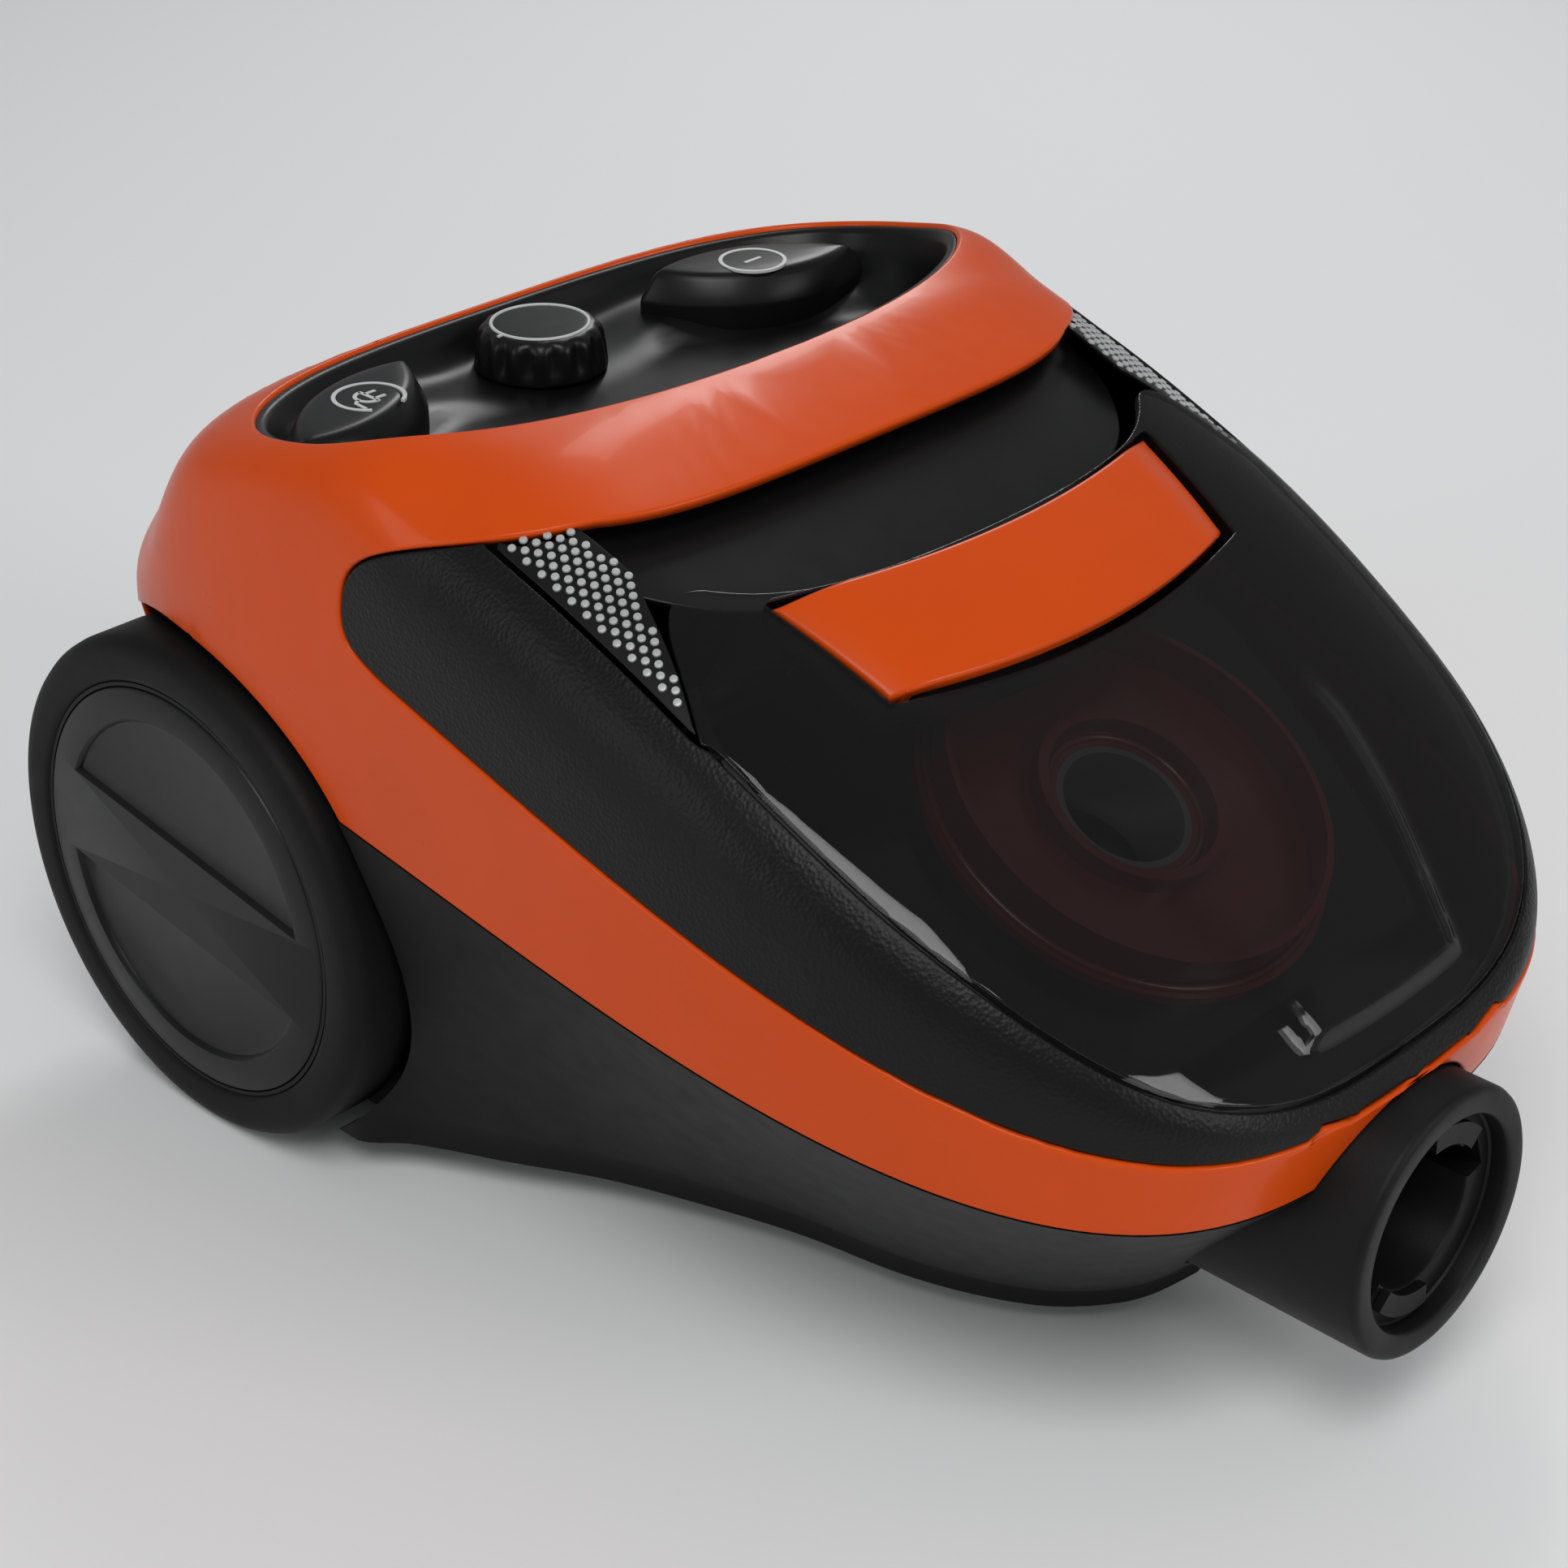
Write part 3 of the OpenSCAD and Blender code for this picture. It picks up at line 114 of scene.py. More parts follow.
def half_width(y):
    y = np.asarray(y, float)
    front = arc_part((FRONT_Y - y) / (FRONT_Y - NOSE), NOSE_P)
    rear = arc_part((y - REAR_Y) / (TAIL - REAR_Y), TAIL_P)
    return HALF_W * np.where(y < FRONT_Y, front, np.where(y > REAR_Y, rear, 1))


_crest = BAND_TOP + BAND_RISE * (np.minimum(YS, FRONT_Y) - NOSE)
_crest = np.where(YS < FRONT_Y, _crest,
                  _crest + (SHOULDER_REAR_Z - _crest) * np.power(np.clip((YS - FRONT_Y) / (TAIL - FRONT_Y), 0, 1), 1.5))
BAND_TOPS = smoothed(_crest, 9, STEP)
_roof = BAND_TOP + (ROOF - BAND_TOP) * rise(YS - NOSE)
_fall = SHOULDER_REAR_Z + (BAND_TOP + (ROOF - BAND_TOP) * rise(FALL_Y - NOSE) - SHOULDER_REAR_Z) \
    * arc_part((YS - FALL_Y) / (TAIL - FALL_Y), 1.15)
_roof = np.where(YS < FALL_Y, _roof, _fall)
_w = np.clip((YS - 60) / 40, 0, 1) * np.clip((TAIL - 8 - YS) / 12, 0, 1)
ROOFS = _roof * (1 - _w) + smoothed(_roof, 9, STEP) * _w
POWERS = smoothed(np.interp(YS - NOSE, [0, 233, 258, 288, 328, 350, 364, 400],
                            [4.3, 4.3, 8, 14, 8, 4, 2.7, 2.6]), 10, STEP)


def band_top(y):
    return np.interp(y, YS, BAND_TOPS)


def band_low(y):
    return np.minimum(BAND_LOW + LOW_RISE * (np.asarray(y, float) - NOSE), LOW_END)


def roof(y):
    return np.interp(y, YS, ROOFS)


def skin_z(x, y):
    hw = np.maximum(half_width(y), 0.01)
    p = np.interp(y, YS, POWERS)
    return band_top(y) + (roof(y) - band_top(y)) * arc_part(np.abs(x) / hw, p)


# plan outline as radius over direction from the outline's centre
_a = np.linspace(0, math.pi / 2, 20001)
_fx, _fy = HALF_W * np.sin(_a) ** (2 / NOSE_P), FRONT_Y - (FRONT_Y - NOSE) * np.cos(_a) ** (2 / NOSE_P)
_rx, _ry = HALF_W * np.cos(_a) ** (2 / TAIL_P), REAR_Y + (TAIL - REAR_Y) * np.sin(_a) ** (2 / TAIL_P)
_sy = np.linspace(FRONT_Y, REAR_Y, 200)[1:-1]
_ox = np.concatenate([_fx, np.full(len(_sy), HALF_W), _rx])
_oy = np.concatenate([_fy, _sy, _ry])
PHIS = np.arctan2(_ox, CENTRE_Y - _oy)
RADS = np.hypot(_ox, _oy - CENTRE_Y)
POW_R, WALL_R = 3.6, 0.35


def surface(d):
    """Flattened coordinates of the skin to its points in space."""
    d = np.atleast_2d(d)
    rho = np.hypot(d[:, 0], d[:, 1]) / 100
    phi = np.arctan2(np.abs(d[:, 0]), -d[:, 1])
    r = np.interp(phi, PHIS, RADS)
    depth = np.clip((rho - 1) / WALL_R, 0, 2)
    share = np.where(rho <= 1, 1 - (1 - np.clip(rho, 0, 1)) ** POW_R, 1 - DRAFT / HALF_W * depth)
    x = np.sign(d[:, 0]) * share * r * np.sin(phi)
    y = CENTRE_Y - share * r * np.cos(phi)
    edge_y = CENTRE_Y - r * np.cos(phi)
    wall = band_top(edge_y) + (band_low(y) - band_top(edge_y)) * depth
    z = np.where(rho <= 1, skin_z(np.where(rho <= 1, x, 0), np.clip(y, NOSE, TAIL)), wall)
    return np.stack([x, y, z], 1)


def of_plan(x, y):
    x, y = np.asarray(x, float), np.asarray(y, float)
    phi = np.arctan2(np.abs(x), CENTRE_Y - y)
    share = np.hypot(x, y - CENTRE_Y) / np.interp(phi, PHIS, RADS)
    rho = 1 - np.clip(1 - share, 0, 1) ** (1 / POW_R)
    return np.stack([100 * rho * np.sin(phi) * np.sign(x), -100 * rho * np.cos(phi)], -1)


def of_side(y, z, side):
    y, z = np.asarray(y, float), np.asarray(z, float)
    bt, hw, p = band_top(y), half_width(y), np.interp(y, YS, POWERS)
    h = np.clip((z - bt) / np.maximum(roof(y) - bt, 0.01), 0, 1)
    up = of_plan(hw * np.power(1 - h ** p, 1 / p), y)
    phi = np.arctan2(hw, CENTRE_Y - y)
    rho = 1 + WALL_R * (bt - z) / (bt - band_low(y))
    down = np.stack([100 * rho * np.sin(phi), -100 * rho * np.cos(phi)], -1)
    out = np.where((z >= bt)[..., None], up, down)
    out[..., 0] *= side
    return out


def of_space(p):
    """Points near the skin back to flattened coordinates."""
    p = np.atleast_2d(p)
    side = np.where(p[:, 0] < 0, -1.0, 1.0)
    t = np.abs(p[:, 0]) / np.maximum(half_width(p[:, 1]), 0.01)
    plan = of_plan(p[:, 0], p[:, 1])
    flank = of_side(p[:, 1], p[:, 2], 1.0)
    flank[:, 0] *= side
    return np.where((t < 0.93)[:, None], plan, flank)


def of_bin(u, v):
    """Where the line through (u, v) along the bin's lift direction meets the skin."""
    u, v = np.asarray(u, float), np.asarray(v, float)
    lo, hi = np.full(u.shape, 60.0), np.full(u.shape, 330.0)
    for _ in range(44):
        w = (lo + hi) / 2
        y, z = v * math.cos(TILT) - w * math.sin(TILT), v * math.sin(TILT) + w * math.cos(TILT)
        above = z > skin_z(np.clip(u, -HALF_W, HALF_W), np.clip(y, NOSE, TAIL))
        hi, lo = np.where(above, w, hi), np.where(above, lo, w)
    return np.stack([u, y, z], -1)


def bin_coords(p):
    return np.stack([p[:, 0], p[:, 1] * math.cos(TILT) + p[:, 2] * math.sin(TILT),
                     -p[:, 1] * math.sin(TILT) + p[:, 2] * math.cos(TILT)], 1)


def from_bin(u, v, w):
    u, v, w = np.broadcast_arrays(np.asarray(u, float), np.asarray(v, float), np.asarray(w, float))
    return np.stack([u, v * math.cos(TILT) - w * math.sin(TILT), v * math.sin(TILT) + w * math.cos(TILT)], -1)


def resampled(p, spacing, closed):
    """Points of a polyline at equal distances."""
    p = np.asarray(p, float)
    if closed:
        p = np.vstack([p, p[:1]])
    s = np.concatenate([[0], np.cumsum(np.linalg.norm(np.diff(p, axis=0), axis=1))])
    keep = np.concatenate([[True], np.diff(s) > 1e-9])
    p, s = p[keep], s[keep]
    n = max(int(round(s[-1] / spacing)), 3)
    t = np.linspace(0, s[-1], n + 1)
    if closed:
        t = t[:-1]
    return np.stack([np.interp(t, s, p[:, k]) for k in range(p.shape[1])], 1)


def rounded(p, closed, times=3):
    """Corner cutting that keeps a polyline's course."""
    p = np.asarray(p, float)
    for _ in range(times):
        q = np.vstack([p, p[:1]]) if closed else p
        a, b = q[:-1] * 0.75 + q[1:] * 0.25, q[:-1] * 0.25 + q[1:] * 0.75
        r = np.empty((2 * len(a), p.shape[1]))
        r[0::2], r[1::2] = a, b
        p = r if closed else np.vstack([q[:1], r, q[-1:]])
    return p


def inside(poly, pts):
    x, y = pts[:, 0][:, None], pts[:, 1][:, None]
    x0, y0 = poly[:, 0][None], poly[:, 1][None]
    x1, y1 = np.roll(poly[:, 0], -1)[None], np.roll(poly[:, 1], -1)[None]
    cross = ((y0 > y) != (y1 > y)) & (x < (x1 - x0) * (y - y0) / np.where(y1 == y0, 1e-12, y1 - y0) + x0)
    return cross.sum(1) % 2 == 1


def grid_points(spacing):
    """Evenly spread flattened points over the whole skin."""
    out = []
    roof_rings = np.linspace(0.02, 1, int(170 / spacing))
    wall_rings = np.linspace(1.0, 1 + WALL_R - 0.02, int(45 / spacing))[1:]
    for rho in np.concatenate([roof_rings, wall_rings]):
        share = 1 - (1 - min(rho, 1)) ** POW_R
        n = max(8, int(1200 * share / spacing))
        phi = (np.arange(n) + (len(out) % 2) * 0.5) / n * 2 * math.pi
        out.append(np.stack([100 * rho * np.sin(phi), -100 * rho * np.cos(phi)], 1))
    return np.vstack(out)


def triangulated(loops, opened, keep, spacing=4.5):
    """A patch of the skin: closed loops and open cuts bound it, keep(flat, space) says what stays."""
    coords, edges = [], []
    for curve, closed in [(c, True) for c in loops] + [(c, False) for c in opened]:
        start = len(coords)
        coords += [tuple(c) for c in curve]
        n = len(curve)
        edges += [(start + i, start + (i + 1) % n) for i in range(n if closed else n - 1)]
    bound = surface(np.array(coords))
    pts = grid_points(spacing)
    sp = surface(pts)
    pts, sp = pts[keep(pts, sp)], sp[keep(pts, sp)]
    near = np.array([np.min(np.sum((bound - q) ** 2, 1)) for q in sp]) if len(sp) else np.zeros(0)
    coords += [tuple(c) for c in pts[near > (spacing * 0.45) ** 2]]
    vs, _, fs, *_ = delaunay_2d_cdt([Vector(c) for c in coords], edges, [], 0, 1e-4)
    flat = np.array([(v.x, v.y) for v in vs])
    tri = np.array([tuple(f) for f in fs if len(f) == 3])
    cen = flat[tri].mean(1)
    tri = tri[keep(cen, surface(cen))]
    a, b, c = flat[tri[:, 0]], flat[tri[:, 1]], flat[tri[:, 2]]
    area = (b[:, 0] - a[:, 0]) * (c[:, 1] - a[:, 1]) - (b[:, 1] - a[:, 1]) * (c[:, 0] - a[:, 0])
    tri[area < 0] = tri[area < 0][:, ::-1]
    tri = tri[np.abs(area) > 1e-7]
    used = np.unique(tri)
    back = np.full(len(flat), -1)
    back[used] = np.arange(len(used))
    return surface(flat[used]), back[tri]


def vertex_normals(p, tri):
    n = np.zeros_like(p)
    f = np.cross(p[tri[:, 1]] - p[tri[:, 0]], p[tri[:, 2]] - p[tri[:, 0]])
    for k in range(3):
        np.add.at(n, tri[:, k], f)
    return n / np.maximum(np.linalg.norm(n, axis=1, keepdims=True), 1e-12)


def skin_normals(p):
    d = of_space(p)
    e = 0.4
    a = surface(d + [e, 0]) - surface(d - [e, 0])
    b = surface(d + [0, e]) - surface(d - [0, e])
    n = np.cross(a, b)
    return n / np.maximum(np.linalg.norm(n, axis=1, keepdims=True), 1e-12)


SHADED = {}


def plate(p, tri, thickness, edge, inset=0.0, on_skin=False):
    """Thickens a patch inwards, with rounded outer edges. Returns points and faces."""
    n = vertex_normals(p, tri)
    if on_skin:
        exact = skin_normals(p)
        ok = np.isfinite(exact).all(1) & (np.sum(exact * n, 1) > 0.9)
        n[ok] = exact[ok]
    p = p - n * inset
    count = {}
    for t in tri:
        for k in range(3):
            a, b = int(t[k]), int(t[(k + 1) % 3])
            count[(a, b)] = count.get((a, b), 0) + 1
    border = [(a, b) for (a, b) in count if (b, a) not in count]
    along = np.zeros_like(p)
    for a, b in border:
        d = p[b] - p[a]
        d = d / max(np.linalg.norm(d), 1e-9)
        along[a] += d
        along[b] += d
    verts = sorted({v for e in border for v in e})
    out = np.cross(along[verts], n[verts])
    out /= np.maximum(np.linalg.norm(out, axis=1, keepdims=True), 1e-9)
    nb = n[verts]
    rim = p[verts].copy()
    q = p.copy()
    q[verts] = rim - out * edge
    pts, faces = [q], [tuple(t) for t in tri]
    index = {v: v for v in verts}
    size = len(q)
    steps = [(math.sin(a) * edge - edge, -(1 - math.cos(a)) * edge)
             for a in (math.pi / 8, math.pi / 4, 3 * math.pi / 8, math.pi / 2)]
    steps.append((0.0, -thickness))
    for side, down in steps:
        pts.append(rim + out * side + nb * down)
        new = {v: size + i for i, v in enumerate(verts)}
        size += len(verts)
        for a, b in border:
            faces.append((index[b], index[a], new[a], new[b]))
        index = new
    inner = [v for v in range(len(p)) if v not in index]
    pts.append(p[inner] - n[inner] * thickness)
    low = dict(index)
    low.update({v: size + i for i, v in enumerate(inner)})
    faces += [(low[t[2]], low[t[1]], low[t[0]]) for t in tri]
    if on_skin:
        exact = np.zeros((sum(len(q) for q in pts), 3))
        exact[:len(p)] = n
        SHADED[id(faces)] = exact
    return np.vstack(pts), faces


def piece(name, pts, faces, material, body="chassis", smooth=40, slot=None):
    mesh = bpy.data.meshes.new(name)
    mesh.from_pydata([tuple(v) for v in np.asarray(pts) * MM], [], [tuple(int(i) for i in f) for f in faces])
    mesh.validate()
    obj = bpy.data.objects.new(name, mesh)
    bpy.context.scene.collection.objects.link(obj)
    mesh.materials.append(material)
    for f in mesh.polygons:
        f.use_smooth = True
    mesh.set_sharp_from_angle(angle=math.radians(smooth))
    if id(faces) in SHADED and len(SHADED[id(faces)]) == len(mesh.vertices):
        mesh.normals_split_custom_set_from_vertices([tuple(v) for v in SHADED[id(faces)]])
    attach(obj, body)
    return obj


def joined(parts):
    pts, faces, base = [], [], 0
    for p, f in parts:
        pts.append(np.asarray(p))
        faces += [tuple(i + base for i in g) for g in f]
        base += len(p)
    return np.vstack(pts), faces


BLOCK = [(0, 1, 2, 3), (7, 6, 5, 4), (0, 4, 5, 1), (1, 5, 6, 2), (2, 6, 7, 3), (3, 7, 4, 0)]


def ring_faces(count, n, apex=False):
    """Faces between count closed rings of n points each, and a fan from the last ring to a last point."""
    faces = [(k * n + i, k * n + (i + 1) % n, (k + 1) * n + (i + 1) % n, (k + 1) * n + i)
             for k in range(count - 1) for i in range(n)]
    if apex:
        faces += [((count - 1) * n + i, (count - 1) * n + (i + 1) % n, count * n) for i in range(n)]
    return faces


def lathe(profile, centre, axis, n=128, closed=True, turn=0.0):
    """A profile of (radius, height) pairs turned about an axis through centre."""
    prof = np.asarray(profile, float)
    a = np.arange(n) / n * 2 * math.pi + turn
    ax = {"x": (1, 2, 0), "y": (2, 0, 1), "z": (0, 1, 2)}[axis]
    pts = np.zeros((len(prof) * n, 3))
    for i, (r, h) in enumerate(prof):
        pts[i * n:(i + 1) * n, ax[0]] = r * np.cos(a)
        pts[i * n:(i + 1) * n, ax[1]] = r * np.sin(a)
        pts[i * n:(i + 1) * n, ax[2]] = h
    faces = []
    m = len(prof)
    for i in range(m if closed else m - 1):
        j = (i + 1) % m
        for k in range(n):
            l = (k + 1) % n
            faces.append((i * n + k, i * n + l, j * n + l, j * n + k))
    return pts + np.asarray(centre, float), faces


def rod(radius, start, end, centre, axis, n):
    """A solid cylinder from start to end along an axis, as a helper."""
    return helper(*lathe([(0.01, start), (radius, start), (radius, end), (0.01, end)], centre, axis, n))


def boolean(obj, cutter, operation):
    mod = obj.modifiers.new("cut", "BOOLEAN")
    mod.object, mod.operation, mod.solver = cutter, operation, "EXACT"
    deps = bpy.context.evaluated_depsgraph_get()
    deps.update()
    mesh = bpy.data.meshes.new_from_object(obj.evaluated_get(deps))
    obj.modifiers.clear()
    old, obj.data = obj.data, mesh
    bpy.data.meshes.remove(old)


def helper(pts, faces):
    mesh = bpy.data.meshes.new("helper")
    mesh.from_pydata([tuple(v) for v in np.asarray(pts) * MM], [], [tuple(int(i) for i in f) for f in faces])
    obj = bpy.data.objects.new("helper", mesh)
    bpy.context.scene.collection.objects.link(obj)
    bm = bmesh.new()
    bm.from_mesh(mesh)
    bmesh.ops.recalc_face_normals(bm, faces=bm.faces)
    bm.to_mesh(mesh)
    bm.free()
    return obj


def drop(*objs):
    for o in objs:
        bpy.data.objects.remove(o, do_unlink=True)


# ---------------------------------------------------------------- materials
def material(name, colour, rough, grain=0.0, grain_size=0.001, mottle=0.12, mottle_size=0.05, metal=0.0,
             coat=0.0, alpha=1.0, spread=0.06, specular=0.5, pebbles=False, scratches=0.0):
    """Moulded plastic, rubber or metal: colour mottle, roughness variation and a surface bump."""
    m = bpy.data.materials.new(name)
    m.use_nodes = True
    nt = m.node_tree
    bsdf = nt.nodes["Principled BSDF"]
    bsdf.inputs["Metallic"].default_value = metal
    bsdf.inputs["Coat Weight"].default_value = coat
    bsdf.inputs["Coat Roughness"].default_value = 0.06
    bsdf.inputs["Specular IOR Level"].default_value = specular
    bsdf.inputs["Alpha"].default_value = alpha
    where = nt.nodes.new("ShaderNodeTexCoord")
    broad = nt.nodes.new("ShaderNodeTexNoise")
    broad.inputs["Scale"].default_value = 1 / mottle_size
    broad.inputs["Detail"].default_value = 4
    nt.links.new(where.outputs["Object"], broad.inputs["Vector"])
    ramp = nt.nodes.new("ShaderNodeValToRGB")
    ramp.color_ramp.elements[0].position, ramp.color_ramp.elements[1].position = 0.3, 0.7
    ramp.color_ramp.elements[0].color = (*[c * (1 - mottle) for c in colour], 1)
    ramp.color_ramp.elements[1].color = (*[min(1, c * (1 + mottle)) for c in colour], 1)
    nt.links.new(broad.outputs["Fac"], ramp.inputs["Fac"])
    nt.links.new(ramp.outputs["Color"], bsdf.inputs["Base Color"])
    fine = nt.nodes.new("ShaderNodeTexNoise")
    fine.inputs["Scale"].default_value = 6 / mottle_size
    fine.inputs["Detail"].default_value = 6
    nt.links.new(where.outputs["Object"], fine.inputs["Vector"])
    spread_map = nt.nodes.new("ShaderNodeMapRange")
    spread_map.inputs["To Min"].default_value = max(rough - spread, 0.01)
    spread_map.inputs["To Max"].default_value = min(rough + spread, 1)
    nt.links.new(fine.outputs["Fac"], spread_map.inputs["Value"])
    nt.links.new(spread_map.outputs["Result"], bsdf.inputs["Roughness"])
    if grain > 0:
        bump = nt.nodes.new("ShaderNodeBump")
        bump.inputs["Strength"].default_value = grain
        bump.inputs["Distance"].default_value = grain_size * 0.25
        if pebbles:
            cells = nt.nodes.new("ShaderNodeTexVoronoi")
            cells.feature = "SMOOTH_F1"
            cells.inputs["Scale"].default_value = 1 / grain_size
            cells.inputs["Smoothness"].default_value = 0.6
            nt.links.new(where.outputs["Object"], cells.inputs["Vector"])
            nt.links.new(cells.outputs["Distance"], bump.inputs["Height"])
        else:
            noise = nt.nodes.new("ShaderNodeTexNoise")
            noise.inputs["Scale"].default_value = 1 / grain_size
            noise.inputs["Detail"].default_value = 3
            nt.links.new(where.outputs["Object"], noise.inputs["Vector"])
            nt.links.new(noise.outputs["Fac"], bump.inputs["Height"])
        nt.links.new(bump.outputs["Normal"], bsdf.inputs["Normal"])
    return m


ORANGE = material("orange_gloss", (0.62, 0.066, 0.003), 0.3, grain=0.015, grain_size=0.0012,
                  mottle=0.03, coat=0.06, specular=0.16)
BLACK = material("black_matte", (0.005, 0.005, 0.0053), 0.5, specular=0.18, grain=0.25,
                 grain_size=0.0006, spread=0.08)
LEATHER = material("black_textured", (0.0035, 0.0035, 0.0036), 0.4, specular=0.2, grain=0.5,
                   grain_size=0.0011, pebbles=True)
SATIN = material("black_satin", (0.004, 0.004, 0.0043), 0.33, specular=0.25, grain=0.06,
                 grain_size=0.0005, mottle=0.08)
SILVER = material("silver_grille", (0.5, 0.5, 0.5), 0.35, grain=0.1, grain_size=0.0006, metal=0.3)
TYRE = material("tyre_rubber", (0.005, 0.005, 0.005), 0.55, specular=0.15, grain=0.3, grain_size=0.0005)
SMOKE = material("smoke_clear", (0.003, 0.002, 0.002), 0.035, alpha=0.36, spread=0.015,
                 specular=0.7, mottle=0.02)
CUP = material("smoke_cup", (0.004, 0.003, 0.003), 0.08, alpha=0.6, spread=0.03, mottle=0.05)
SEAL = material("seal_rubber", (0.015, 0.015, 0.015), 0.6, grain=0.3, grain_size=0.0007)
GREY = material("grey_plastic", (0.06, 0.06, 0.062), 0.45, grain=0.2, grain_size=0.0007)
RED = material("red_plastic", (0.09, 0.005, 0.003), 0.2, grain=0.04, grain_size=0.001)
FOAM = material("filter_foam", (0.5, 0.5, 0.45), 0.95, grain=1.0, grain_size=0.0016, pebbles=True)
STEEL = material("steel", (0.5, 0.5, 0.51), 0.32, grain=0.12, grain_size=0.0004, metal=1.0)
FAN = material("aluminium_fan", (0.7, 0.7, 0.72), 0.3, grain=0.1, grain_size=0.0005, metal=1.0)
COPPER = material("copper_windings", (0.4, 0.14, 0.05), 0.35, grain=0.6, grain_size=0.0009, metal=0.8)
WHITE = material("white_mark", (0.55, 0.55, 0.55), 0.4, grain=0.05, grain_size=0.0005, mottle=0.04)
BOARD = material("board_green", (0.008, 0.09, 0.03), 0.35, grain=0.2, grain_size=0.001)
MESHED = material("cyclone_mesh", (0.2, 0.2, 0.2), 0.35, grain=0.9, grain_size=0.0016, metal=0.6,
                  pebbles=True)
BY_SLOT = {"orange_gloss": ORANGE, "black_matte": BLACK, "black_textured": LEATHER, "black_satin": SATIN,
           "silver_grille": SILVER, "tyre_rubber": TYRE, "smoke_clear": SMOKE, "seal_rubber": SEAL,
           "grey_plastic": GREY, "red_plastic": RED, "filter_foam": FOAM, "steel": STEEL, "aluminium_fan": FAN,
           "copper_windings": COPPER, "white_mark": WHITE, "board_green": BOARD}
slots = {s["node"]: s["material_slot"] for s in frame["record"]["subparts"]}
for name, obj in frame["nodes"].items():
    own = {"bin_cup": CUP, "cyclone_shroud": MESHED}.get(name, BY_SLOT[slots[name]])
    obj.data.materials.clear()
    obj.data.materials.append(own)
    obj.data.set_sharp_from_angle(angle=math.radians(35))

# ---------------------------------------------------------------- outlines on the skin
band_y = np.concatenate([np.linspace(NOSE + 0.5, 40, 90)])
corner_rise = [(9, 4.2), (12.6, 7.6), (14, 12), (13.6, 18), (11, 27), (3, 34.5), (-12, 41)]
rear_end = np.array([(40 + a, BAND_TOP + BAND_RISE * (40 - NOSE) + b) for a, b in corner_rise]
                    + [(8, VISOR_Z - 3.2)])
side_line = np.vstack([np.stack([band_y, BAND_TOP + BAND_RISE * (band_y - NOSE)], 1), rear_end, [(-8, VISOR_Z)]])
tail_end = rounded(side_line[len(band_y) - 2:], False, 3)
side_line = np.vstack([side_line[:len(band_y) - 2], tail_end])
x_visor = abs(surface(of_side(-8.0, VISOR_Z, 1.0)[None])[0, 0])


def visor_y(x):
    lo, hi = np.full(np.shape(x), -90.0), np.full(np.shape(x), 20.0)
    for _ in range(40):
        mid = (lo + hi) / 2
        low = skin_z(x, mid) < VISOR_Z
        lo, hi = np.where(low, mid, lo), np.where(low, hi, mid)
    return (lo + hi) / 2


def window_loop(gap):
    """Closed loop of the window, moved inwards by gap, in flattened coordinates."""
    right = surface(of_side(side_line[:, 0], side_line[:, 1], 1.0))
    xs = np.linspace(x_visor, 0, 60)[1:-1]
    top = np.stack([xs, visor_y(xs), np.full(len(xs), VISOR_Z)], 1)
    half = resampled(np.vstack([right, top]), 3.5, False)
    start = np.array([[0.0, NOSE, BAND_TOP]])
    loop = np.vstack([start, half, (half * [-1, 1, 1])[::-1]])
    loop = resampled(loop, 3.5, True)
    if gap:
        loop = moved(loop, gap)
    return of_space(loop)


def moved(loop, gap):
    """Moves a closed loop that runs anticlockwise from outside towards its inside."""
    t = np.roll(loop, -1, 0) - np.roll(loop, 1, 0)
    t /= np.maximum(np.linalg.norm(t, axis=1, keepdims=True), 1e-9)
    return loop - np.cross(t, skin_normals(loop)) * gap


bin_half, bin_side_y, bin_nose, bin_p = HALF_W - 14, -17.0, NOSE + 4, 3.3
REAR_V, SIDE_V = 56.0, 38.0
_t = np.linspace(-1, 1, 121) * math.radians(87)
rim_x = bin_half * np.sign(_t) * np.abs(np.sin(_t)) ** (2 / bin_p)
rim_y = bin_side_y - (bin_side_y - bin_nose) * np.cos(_t) ** (2 / bin_p)
rim = np.stack([rim_x, rim_y, skin_z(rim_x, rim_y)], 1)
rim = rim[bin_coords(rim)[:, 1] < SIDE_V]
rim_end_x = abs(rim[0, 0])
rear_uv = rounded(np.array([(rim_end_x + 1.5, SIDE_V + 2), (98, REAR_V + 29), (75, REAR_V + 8),
                            (40, REAR_V + 1.5), (0, REAR_V), (-40, REAR_V + 1.5), (-75, REAR_V + 8),
                            (-98, REAR_V + 29), (-rim_end_x - 1.5, SIDE_V + 2)]), False, 3)
rear_edge = of_bin(rear_uv[:, 0], rear_uv[:, 1])
bin_loop3 = resampled(np.vstack([rim, rear_edge]), 3.0, True)


def bin_loop(gap):
    return of_space(moved(bin_loop3, gap) if gap else bin_loop3)


def side_cut(gap):
    """The inner edge of the side cover: the bin's rim and the grilles' outer edges."""
    up_v = np.linspace(SIDE_V + 3, REAR_V + 66, 30)
    right = of_bin(np.full(30, bin_half + 0.6), up_v)
    left = of_bin(np.full(30, -bin_half - 0.6), up_v)[::-1]
    loop = np.vstack([rim, right, [[60, 60, skin_z(60, 60)], [-60, 60, skin_z(-60, 60)]], left])
    loop = resampled(loop, 3.0, True)
    return moved(loop, -gap)


panel_a = np.linspace(0, 2 * math.pi, 181)[:-1]


def panel_outline(inset):
    c, s = np.cos(panel_a), np.sin(panel_a)
    return np.stack([(PANEL_X - inset) * np.sign(c) * np.abs(c) ** (2 / PANEL_P),
                     PANEL_Y + (PANEL_HY - inset) * np.sign(s) * np.abs(s) ** (2 / PANEL_P)], 1)


